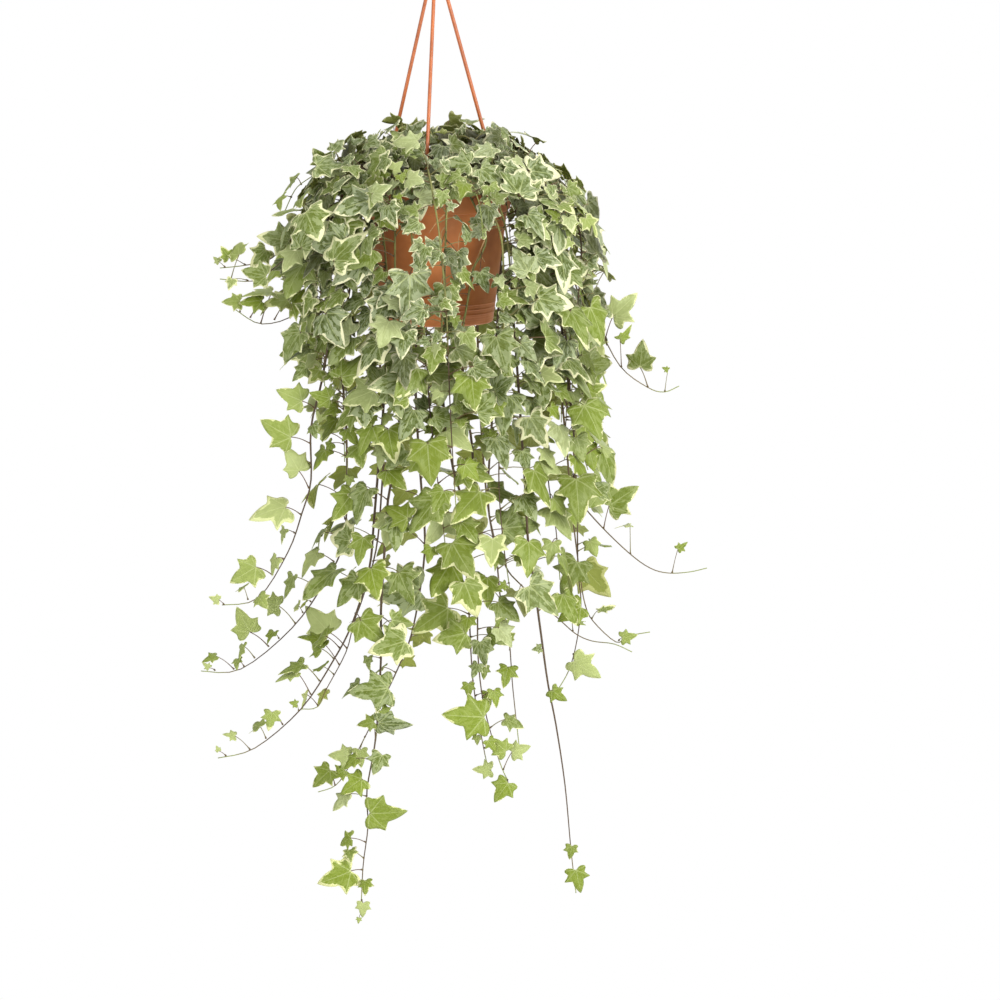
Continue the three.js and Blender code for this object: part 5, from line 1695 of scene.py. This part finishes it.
def crown_stem(index: int, ring: CrownRing, number: int) -> Stem:
    """One of the crown's arching stems, before its line is known.

    Args:
        index: The stem's number.
        ring: The ring that it stands in.
        number: Its number in that ring.

    Returns:
        The stem.
    """
    draw = Draws(CROWN_SEED + 10 * index)
    angle = ring.first + 360 * number / ring.count
    high = ring.rise * (0.8 + 0.35 * draw())
    far = ring.reach * (0.86 + 0.28 * draw()) + 14 * math.cos(math.radians(angle))
    fall = 20 + 60 * draw()
    turn = 16 * (draw() - 0.5)
    points = root_points(polar(ring.root, angle, 0))
    for reach, share, rise in ((ring.root + 0.1 * far, 0.0, high * 0.85), (ring.root + 0.3 * far, 0.3, high),
                               (0.72 * far, 0.6, high * 0.45), (0.92 * far, 0.8, -fall * 0.3),
                               (far, 1.0, -fall)):
        points.append(polar(reach, angle + share * turn, RIM_Z + rise))
    return Stem(f"crown_{index + 1:02d}", StemKind.CROWN, index, points)


def all_stems() -> list[Stem]:
    """Every stem, before its line is known."""
    shoots = [(ring, number) for ring in CROWN_RINGS for number in range(ring.count)]
    return ([trail_stem(index, way) for index, way in enumerate(FOLLOWED)]
            + [skirt_stem(index, slot) for index, slot in enumerate(SKIRT_SLOTS)]
            + [crown_stem(index, ring, number) for index, (ring, number) in enumerate(shoots)])


# The leaves of the ivy


class Canopy:
    """Where every blade is, so that a new one keeps clear of the others, the stems, the pot and the legs."""

    CELL = 60.0
    NEAR = tuple(product((-1, 0, 1), repeat=3))
    NEAR_SHARE = 1.3
    NEAR_MORE = 50.0
    COARSE = ((0.0, 0.0), (0.46, -0.1), (0.57, 0.38), (0.27, 0.5), (0.0, 1.02), (-0.27, 0.5), (-0.57, 0.38),
              (-0.46, -0.1))
    TRIED = ((0.0, 0.05), (0.0, 0.5), (0.0, 1.0), (0.56, 0.38), (-0.56, 0.38), (0.44, -0.1), (-0.44, -0.1),
             (0.28, 0.2), (-0.28, 0.2), (0.17, 0.68), (-0.17, 0.68))
    STALK_FREE = 0.45
    CLEARANCE = 0.7
    DOME_TOP = RIM_Z + 62.0
    DOME_FALL = 0.0027
    DOME_PROUD = 18.0
    SEEN_RIGHT = 614.0
    # The seen boxes, left, top, right and bottom, in which the front leg and the pot show between the leaves
    POT_SHOWS = ((426, 60, 437, 158), (414, 270, 437, 298), (462, 288, 496, 325), (422, 208, 447, 245),
                 (450, 222, 460, 250), (461, 196, 480, 217), (487, 228, 497, 275), (497, 208, 514, 265),
                 (382, 232, 405, 272), (404, 191, 420, 197), (465, 247, 485, 270), (425, 318, 447, 326))
    POT_FRONT = 40.0

    def __init__(self, nodes: dict[str, bpy.types.Object], box: Sequence[Sequence[float]]) -> None:
        """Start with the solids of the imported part.

        Args:
            nodes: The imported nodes, by name.
            box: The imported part's least and greatest corner, in metres.
        """
        self.low, self.high = (Vector(corner) / MM for corner in box)
        corners: list[Vector] = []
        faces: list[Face] = []
        for node in nodes.values():
            start = len(corners)
            corners += [vertex.co / MM for vertex in node.data.vertices]
            faces += [tuple(start + c for c in face.vertices) for face in node.data.polygons]
        self.solids = BVHTree.FromPolygons(corners, faces, epsilon=self.CLEARANCE)
        self.cells: dict[tuple[int, ...], list[tuple[Vector, BVHTree]]] = defaultdict(list)

    def cell(self, place: Vector) -> tuple[int, ...]:
        """The cell that a place lies in."""
        return tuple(math.floor(value / self.CELL) for value in place)

    def shape(self, stand: Stand) -> BVHTree:
        """A plain form of a blade with the outer half of its stalk.

        Args:
            stand: The leaf's stand.

        Returns:
            The form, for tests.
        """
        points = [stand.at(x, y) for x, y in self.COARSE]
        foot = stand.place.lerp(stand.joint, self.STALK_FREE)
        points += [foot, foot + stand.across]
        faces = [(0, i, i + 1) for i in range(1, len(self.COARSE) - 1)] + [(0, 8, 9)]
        return BVHTree.FromPolygons(points, faces, epsilon=self.CLEARANCE)

    def add(self, stand: Stand) -> None:
        """Remember a blade."""
        middle = stand.middle()
        self.cells[self.cell(middle)].append((middle, self.shape(stand)))

    def is_inside(self, point: Vector) -> bool:
        """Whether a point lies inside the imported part's box."""
        return all(low < value < high for low, value, high in zip(self.low, point, self.high))

    def is_welcome(self, stand: Stand) -> bool:
        """Whether a leaf lies under the crown's dome and leaves free what shows of the pot.

        Args:
            stand: The leaf's stand.

        Returns:
            True where it does.
        """
        proud = self.DOME_PROUD * smoothstep(0.8, 1.0, (stand.seed * 13.7) % 1)
        for x, y in self.TRIED:
            point = stand.joint + (stand.across * x + stand.midrib * y) * stand.size
            if point.z > self.DOME_TOP + proud - self.DOME_FALL * (point.x * point.x + point.y * point.y):
                return False
            across, down = seen_at(point)
            if across > self.SEEN_RIGHT:
                return False
            if point.y > -self.POT_FRONT:
                continue
            if any(left < across < right and top < down < foot for left, top, right, foot in self.POT_SHOWS):
                return False
        return True

    def is_clear(self, stand: Stand) -> bool:
        """Whether a leaf would stand clear of everything.

        Args:
            stand: The leaf's stand.

        Returns:
            True where it touches nothing.
        """
        if not all(self.is_inside(stand.at(x, y)) for x, y in self.COARSE):
            return False
        shape = self.shape(stand)
        if shape.overlap(self.solids):
            return False
        middle = stand.middle()
        home = self.cell(middle)
        reach = self.NEAR_SHARE * stand.size + self.NEAR_MORE
        for step in self.NEAR:
            for other, form in self.cells.get(tuple(a + b for a, b in zip(home, step)), ()):
                if (other - middle).length < reach and form.overlap(shape):
                    return False
        return True


@dataclass(frozen=True)
class Blade:
    """The fine form of a blade, in blade lengths: half its outline is across, along and depth of cut."""

    half: tuple[tuple[float, float, float], ...] = (
        (0.0, 0.0, 0.0), (0.08, -0.055, 0.0), (0.17, -0.12, 0.0), (0.27, -0.145, 0.0), (0.37, -0.135, 0.0),
        (0.44, -0.1, 0.0), (0.468, -0.02, 0.1), (0.448, 0.07, 0.5), (0.442, 0.15, 0.8), (0.475, 0.24, 0.5),
        (0.525, 0.325, 0.1), (0.56, 0.38, 0.0), (0.5, 0.405, 0.1), (0.42, 0.418, 0.4), (0.345, 0.44, 0.8),
        (0.288, 0.475, 1.0), (0.258, 0.56, 0.6), (0.222, 0.66, 0.4), (0.17, 0.765, 0.3), (0.108, 0.865, 0.2),
        (0.05, 0.945, 0.1),
    )
    rings: tuple[float, ...] = (0.4, 0.78, 1.0)
    small_rings: tuple[float, ...] = (0.58, 1.0)
    small: float = 24.0
    centre: tuple[float, float] = (0.0, 0.2)
    thick: float = 0.42
    deepest: float = 0.26
    keel_width: float = 0.06
    long_wave: float = 0.028
    short_wave: float = 0.018
    twist: float = 0.5
    bend: float = 0.05

    def outline(self, stand: Stand) -> np.ndarray:
        """The blade's edge, with its cuts as deep as this leaf has them.

        Args:
            stand: The leaf's stand.

        Returns:
            One row of across and along for each point.
        """
        deep = self.deepest * (stand.cut - CUT[0]) / (CUT[1] - CUT[0])
        lobes = 0.92 + 0.16 * ((stand.seed * 7.3) % 1)
        right = [(x * (1 - deep * cut) * lobes, y) for x, y, cut in self.half]
        left = [(-x * (1 - deep * cut) / lobes, y + 0.03 * (lobes - 1) * x)
                for x, y, cut in self.half[:0:-1]]
        return np.array(right + [(0.0, 1.0)] + left)

    def add(self, parts: MeshParts, stand: Stand, kind: tuple[float, float, float], light: float) -> None:
        """Add one blade to a mesh.

        Args:
            parts: The mesh.
            stand: The leaf's stand.
            kind: The leaf's seed, freshness and margin.
            light: Its painted light and shade, from 0, the darkest painted shade, over 0.5 to 1, the palest
                painted highlight.
        """
        outline = self.outline(stand)
        count = len(outline)
        middle = np.array(self.centre)
        rings = self.small_rings if stand.size < self.small else self.rings
        plane = np.concatenate([middle[None, :]] + [middle + (outline - middle) * ring for ring in rings])
        rim = np.concatenate([[0.0], *[np.full(count, ring) for ring in rings]])
        face = self.surface(stand, plane, rim)
        half = (self.thick / 2 * (1.15 - 0.75 * rim))[:, None] * np.array(stand.normal)
        size = len(face)
        faces: list[Face] = []
        flat: list[bool] = []
        for j in range(count):
            n = (j + 1) % count
            faces += [(0, 1 + j, 1 + n), (size, size + 1 + n, size + 1 + j)]
            for k in range(len(rings) - 1):
                a, b = 1 + k * count + j, 1 + k * count + n
                upper = (a, a + count, b + count, b)
                faces += [upper, tuple(size + corner for corner in (a, b, b + count, a + count))]
            a, b = size - count + j, size - count + n
            faces.append((a, a + size, b + size, b))
            flat += [False] * (2 * len(rings)) + [True]
        ones = np.ones(2 * size)
        below = np.concatenate([np.zeros(size), np.ones(size)])
        side = np.stack([np.concatenate([rim, rim]), below, ones * light, ones], axis=1)
        sort = np.stack([*(ones * value for value in kind), ones], axis=1)
        parts.add(np.concatenate([face + half, face - half]), faces, flat,
                  leaf_plane=np.concatenate([plane, plane]), leaf_side=side, leaf_kind=sort)

    def surface(self, stand: Stand, plane: np.ndarray, rim: np.ndarray) -> np.ndarray:
        """The middle of the blade's thickness, folded along its keel, curled, waved and twisted.

        Args:
            stand: The leaf's stand.
            plane: One row of across and along for each point.
            rim: How near to the blade's edge each point lies, from 0 to 1.

        Returns:
            One row for each point, in millimetres.
        """
        x, y = plane[:, 0], plane[:, 1]
        phase = 6.28 * stand.seed
        keel = np.sqrt(x * x + self.keel_width * self.keel_width) - self.keel_width
        turn = np.arctan2(x, y + RAY_DROP)
        wave = (self.long_wave * np.sin(5 * turn + phase)
                + self.short_wave * np.sin(9 * turn + 2.3 * phase))
        twist = self.twist * math.sin(1.7 * phase + 1.0)
        off = stand.fold * keel - stand.curl * (y * y + 0.5 * x * x) + wave * rim * rim + twist * x * y
        bend = x + self.bend * math.sin(2.1 * phase) * y * y
        across, midrib, normal = (np.array(axis) for axis in (stand.across, stand.midrib, stand.normal))
        local = bend[:, None] * across + y[:, None] * midrib + off[:, None] * normal
        return np.array(stand.joint) + stand.size * local


@dataclass
class Ivy:
    """All the leafy stems."""

    nodes: dict[str, bpy.types.Object]
    box: list[list[float]]
    blade: Blade
    leaf_material: bpy.types.Material
    stem_material: bpy.types.Material
    stems: list[Stem] = field(default_factory=all_stems)

    MATCH = 0.5
    FURTHER_ATTEMPTS = 12
    STEM_SIDES = 8
    STALK_SIDES = 5
    STALK_RADII = (0.82, 0.58, 0.49, 0.46, 0.48, 0.56)
    STALK_ARCH = 0.07
    BUD_LENGTH = 2.6
    BUD_RADII = (1.1, 0.8, 0.2)
    BUD_KIND: Colour = (0.7, 0.0, 0.0, 1.0)
    ROOTLET_SIDES = 6
    ROOTLET_KIND: Colour = (0.0, 1.0, 1.0, 1.0)
    WIDE_LEAF = 38.0

    def corners(self, name: str) -> KDTree:
        """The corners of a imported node, for finding the nearest.

        Args:
            name: The node's name.

        Returns:
            The tree of corners, in millimetres.
        """
        vertices = self.nodes[name].data.vertices
        tree = KDTree(len(vertices))
        for number, vertex in enumerate(vertices):
            tree.insert(vertex.co / MM, number)
        tree.balance()
        return tree

    def find_line(self, stem: Stem, corners: KDTree) -> None:
        """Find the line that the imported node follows.

        Args:
            stem: The stem.
            corners: The node's corners.
        """

        def off(line: list[Vector]) -> float:
            """How far the node's corners are from lying round the end of a line."""
            near = [found for point in line[-4:] for found in corners.find_n(point, 3)]
            return sum(abs(distance - STEM_RADIUS) for _, _, distance in near)

        stem.follow(min((stem.attempt_line(attempt) for attempt in range(2 * ATTEMPTS)), key=off))

    def place_carried(self) -> list[Wanted]:
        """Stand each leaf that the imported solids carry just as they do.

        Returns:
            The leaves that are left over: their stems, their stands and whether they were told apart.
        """
        free: list[Wanted] = []
        for stem in self.stems:
            corners = self.corners(stem.name)
            self.find_line(stem, corners)
            wanted = [(site, partial(Stand.sighted, site, leaf), True) for site, leaf in stem.seen_sites()]
            wanted += [(site, partial(Stand.ruled, site), False) for site in stem.sites()]
            for site, stand_at, known in wanted:
                stands = [stand_at(attempt) for attempt in range(ATTEMPTS if site.carried else 0)]
                found = next((s for s in stands if s and corners.find(s.at(0, 1))[2] < self.MATCH), None)
                if found:
                    stem.leaves.append(found)
                else:
                    free.append((stem, stand_at, known))
        free.sort(key=lambda entry: not entry[2])
        return free

    def place_free(self, canopy: Canopy, free: Iterable[Wanted], attempts: int) -> int:
        """Stand the further leaves wherever they are clear.

        Args:
            canopy: What is there so far.
            free: The leaves, as stem, stands and whether they were told apart.
            attempts: How many ways each leaf may try.

        Returns:
            How many found a place.
        """
        placed = 0
        for stem, stand_at, known in free:
            for stand in map(stand_at, range(attempts)):
                if stand and (known or canopy.is_welcome(stand)) and canopy.is_clear(stand):
                    canopy.add(stand)
                    stem.leaves.append(stand)
                    placed += 1
                    break
        return placed

    def build(self) -> None:
        """Make every stem with its leaves."""
        free = self.place_carried()
        carried = sum(len(stem.leaves) for stem in self.stems)
        canopy = Canopy(self.nodes, self.box)
        for stem in self.stems:
            for stand in stem.leaves:
                canopy.add(stand)
        placed = self.place_free(canopy, free, ATTEMPTS)
        LOG.info("leaves: %d carried by the solids, %d between them", carried, placed)
        for more in FURTHER:
            sites = [(stem, partial(Stand.ruled, site, lean=more.lean), False) for stem in self.stems
                     for site in stem.more_sites(more)]
            placed = self.place_free(canopy, sites, self.FURTHER_ATTEMPTS)
            LOG.info("further leaves: %d of %d sites", placed, len(sites))
        for stem in self.stems:
            self.build_stem(stem)
            self.build_leaves(stem)

    def build_stem(self, stem: Stem) -> None:
        """Make a stem with its leaf stalks, buds and rootlets.

        Args:
            stem: The stem.
        """
        parts = MeshParts()
        curve = finer(stem.line)
        reaches = lengths_along(curve)
        fresh = 0.4 if stem.kind is StemKind.CROWN else 0.7 if stem.line[-1].x > RIM_RADIUS * 2 else 1.0
        radii, ages = [], []
        for point, reach in zip(curve, reaches):
            left, before = reaches[-1] - reach, is_before_pot(point)
            radii.append((0.5 + 0.75 * smoothstep(0, 380, left)) * (0.8 if before else 1.0))
            ages.append(fresh * smoothstep(-10, 70, left) * (0.35 if before else 1.0))
        places = np.linspace(0, 1, len(ages))
        sweep(parts, curve, radii, self.STEM_SIDES,
              lambda share: (float(np.interp(share, places, ages)), 0.0, 0.0, 1.0))
        for stand in stem.leaves:
            self.stalk(parts, stand)
        for rootlet in ROOTLETS.get(stem.name, ()):
            foot = stem.site_at(foot_on(stem.line, *rootlet[0])).place
            line = [foot, *(sighted(*point, -foot.y - 2.0 * k) for k, point in enumerate(rootlet[1:], 1))]
            curve = finer(line)
            thin = [0.55 - 0.3 * k / len(curve) for k in range(len(curve))]
            sweep(parts, curve, thin, self.ROOTLET_SIDES, self.ROOTLET_KIND)
        keep(parts.piece(f"{stem.name}_stem", self.stem_material), stem.name)

    def stalk(self, parts: MeshParts, stand: Stand) -> None:
        """Add a leaf's stalk, with the bud at its foot.

        Args:
            parts: The mesh that it joins.
            stand: The leaf's stand.
        """
        arch = UP * (self.STALK_ARCH * (stand.joint - stand.place).length)
        steps = len(self.STALK_RADII) - 1
        line = [stand.place.lerp(stand.joint, k / steps) + arch * math.sin(math.pi * k / steps)
                for k in range(steps + 1)]
        scale = 0.55 + 0.45 * min(1.0, stand.size / 26)
        flush = 0.5 * smoothstep(0.2, 0.7, stand.seed)
        sweep(parts, line, [radius * scale for radius in self.STALK_RADII], self.STALK_SIDES,
              (0.0, 1.0, flush, 1.0))
        bud = stand.place + (stand.stalk + UP * 0.6).normalized() * self.BUD_LENGTH
        sweep(parts, [stand.place, stand.place.lerp(bud, 0.6), bud], self.BUD_RADII, self.STALK_SIDES,
              self.BUD_KIND)

    def build_leaves(self, stem: Stem) -> None:
        """Make a stem's blades.

        Args:
            stem: The stem.
        """
        parts = MeshParts()
        draw = Draws(LOOK_SEED + 17 * stem.index + stem.kind.value)
        for stand in stem.leaves:
            self.blade.add(parts, stand, *self.look(stand, draw))
        keep(parts.piece(f"{stem.name}_leaves", self.leaf_material), stem.name)

    def look(self, stand: Stand, draw: Draws) -> tuple[tuple[float, float, float], float]:
        """How a leaf looks: fresher near a tip, low down and at the left, with painted light and shade:
        paler near a tip, low down, at the right and far left, darker inside the crown and at its right.

        Args:
            stand: The leaf's stand.
            draw: The draw of its looks.

        Returns:
            The leaf's seed, freshness and margin, and its painted light and shade.
        """
        middle = stand.middle()
        young = smoothstep(150, 10, stand.left) * 0.6
        low = smoothstep(RIM_Z - 60, RIM_Z - 300, middle.z) * 0.45
        leftness = smoothstep(-40, -150, middle.x) * 0.3
        tone = min(1.0, max(0.0, young + leftness + low + draw.between(-0.35, 0.6)))
        high = smoothstep(RIM_Z - 250, RIM_Z - 100, middle.z)
        wide = draw() < 0.06 + 0.14 * high
        margin = draw.between(0.13, 0.25) if wide else draw.between(-0.03 + 0.06 * high, 0.07 + 0.05 * high)
        # Painted shade: leaves deep inside the crown are darkened where the others shade them
        inside = (smoothstep(130, 40, math.hypot(middle.x, middle.y))
                  * smoothstep(RIM_Z - 20, RIM_Z + 20, middle.z)
                  * smoothstep(CROWN_TOP, CROWN_TOP - 45, middle.z))
        # Painted light and shade: a random draw that makes some leaves near-black painted shade for the dark
        # gaps, and some pale painted highlights
        pale = draw()
        right, far_left = smoothstep(60, 200, middle.x), smoothstep(-110, -180, middle.x)
        crown = smoothstep(RIM_Z - 30, RIM_Z + 30, middle.z)
        # Painted light: more pale leaves at the right, where the key lamp falls, partly the real pallor near
        # tips and low down; painted shade: random dark leaves, leaves inside the crown and on the crown's
        # right; painted light lifts the far left
        edge = (0.27 - 0.25 * crown) * right + 0.25 * smoothstep(90, 10, stand.left) + 0.2 * (1 - high)
        dark = (0.16 + 0.19 * high) * smoothstep(0.35, 0.0, pale) + 0.2 * inside + 0.15 * crown * right
        light = 0.5 + 0.5 * smoothstep(0.86 - edge, 1.0, pale) + 0.24 * far_left - dark
        light = min(0.6 if stand.size > self.WIDE_LEAF else 1.0, max(0.0, light))
        return (draw(), tone, margin), light


# The studio


@dataclass(frozen=True)
class Lamp:
    """One soft lamp: its place, its side and its power in watts."""

    name: str
    place: tuple[float, float, float]
    size: float
    power: float


@dataclass(frozen=True)
class Studio:
    """A pale floor, soft light and the camera at the sighting eye."""

    floor_z: float = -1290.0
    floor_radius: float = 90000.0
    floor_sides: int = 32
    floor_grey: float = 0.86
    room_level: float = 0.54
    aim: tuple[float, float, float] = (40.0, 0.0, -520.0)
    lamps: tuple[Lamp, ...] = (
        Lamp("key", (1900, -2300, 300), 1500, 98), Lamp("fill", (-2300, -1900, 0), 2200, 36),
        Lamp("top", (300, 200, 2100), 1600, 36), Lamp("back", (700, 2500, 500), 2000, 20),
    )

    def build(self) -> None:
        """Set the whole studio."""
        self.camera()
        self.floor()
        self.world()
        for lamp in self.lamps:
            light = bpy.data.lights.new(lamp.name, "AREA")
            light.size = lamp.size * MM
            light.energy = lamp.power
            self.stand(lamp.name, light, Vector(lamp.place), Vector(self.aim))

    def stand(self, name: str, kind: bpy.types.ID, place: Vector, aim: Vector) -> bpy.types.Object:
        """Stand a lamp or the camera at a place, looking at another.

        Args:
            name: Its name.
            kind: The lamp or the camera.
            place: Where it stands.
            aim: Where it looks.

        Returns:
            The object.
        """
        made = bpy.data.objects.new(name, kind)
        made.location = place * MM
        made.rotation_euler = (aim - place).to_track_quat("-Z", "Y").to_euler()
        bpy.context.scene.collection.objects.link(made)
        return made

    def camera(self) -> None:
        """Place the camera."""
        lens = bpy.data.cameras.new("view")
        lens.sensor_width = SENSOR
        lens.lens = SENSOR * EYE_DISTANCE / VIEW_WIDTH
        lens.clip_end = 500
        target = Vector((AIM_X, 0, AIM_Z))
        bpy.context.scene.camera = self.stand("view", lens, target + TO_EYE * EYE_DISTANCE, target)

    def floor(self) -> None:
        """Lay the pale floor."""
        made, sheet = new_material("pale_floor")
        seen = sheet.node("LightPath").outputs["Is Camera Ray"]
        plain = sheet.node("BsdfDiffuse", {"Color": (*[self.floor_grey] * 3, 1.0)})
        glow = sheet.node("Emission", {"Color": WHITE, "Strength": 1.0})
        sheet.show(sheet.node("MixShader", {0: seen, 1: plain.outputs[0], 2: glow.outputs[0]}))
        parts = MeshParts()
        corners = circle(self.floor_radius, self.floor_sides, self.floor_z)
        parts.add(np.array(corners), [tuple(range(self.floor_sides))])
        parts.piece("floor", made)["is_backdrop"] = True

    def world(self) -> None:
        """Set the even light from all round."""
        world = bpy.data.worlds.new("soft_room")
        bpy.context.scene.world = world
        world.use_nodes = True
        world.node_tree.nodes.clear()
        sheet = Sheet(world.node_tree)
        seen = sheet.node("LightPath").outputs["Is Camera Ray"]
        level = sheet.ramp(seen, 0, 1, self.room_level, 1.0)
        light = sheet.node("Background", {"Color": WHITE, "Strength": level})
        sheet.node("OutputWorld", {"Surface": light.outputs[0]})
        bpy.context.scene.view_settings.view_transform = "Standard"


def main() -> None:
    """Load the frame, dress it and set the studio."""
    logging.basicConfig(level=logging.INFO, format="%(message)s")
    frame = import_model()
    cad_box = [list(corner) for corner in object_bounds()]
    nodes = {name: bpy.data.objects[name] for name in frame["nodes"]}
    Studio().build()
    grain = grain_group()
    Pot(MouldedFinish(grain, "terracotta_pot", srgb(214, 132, 74), srgb(192, 110, 56), 0.46, 2600.0)).build()
    Hanger(MouldedFinish(grain, "terracotta_hanger", srgb(188, 106, 60), srgb(158, 84, 44), 0.3)).build()
    Soil(SoilFinish()).build()
    leaf_material = LeafFinish(leaf_pattern_group()).material()
    Ivy(nodes, cad_box, Blade(), leaf_material, StemFinish(grain).material()).build()


if __name__ == "__main__":
    main()
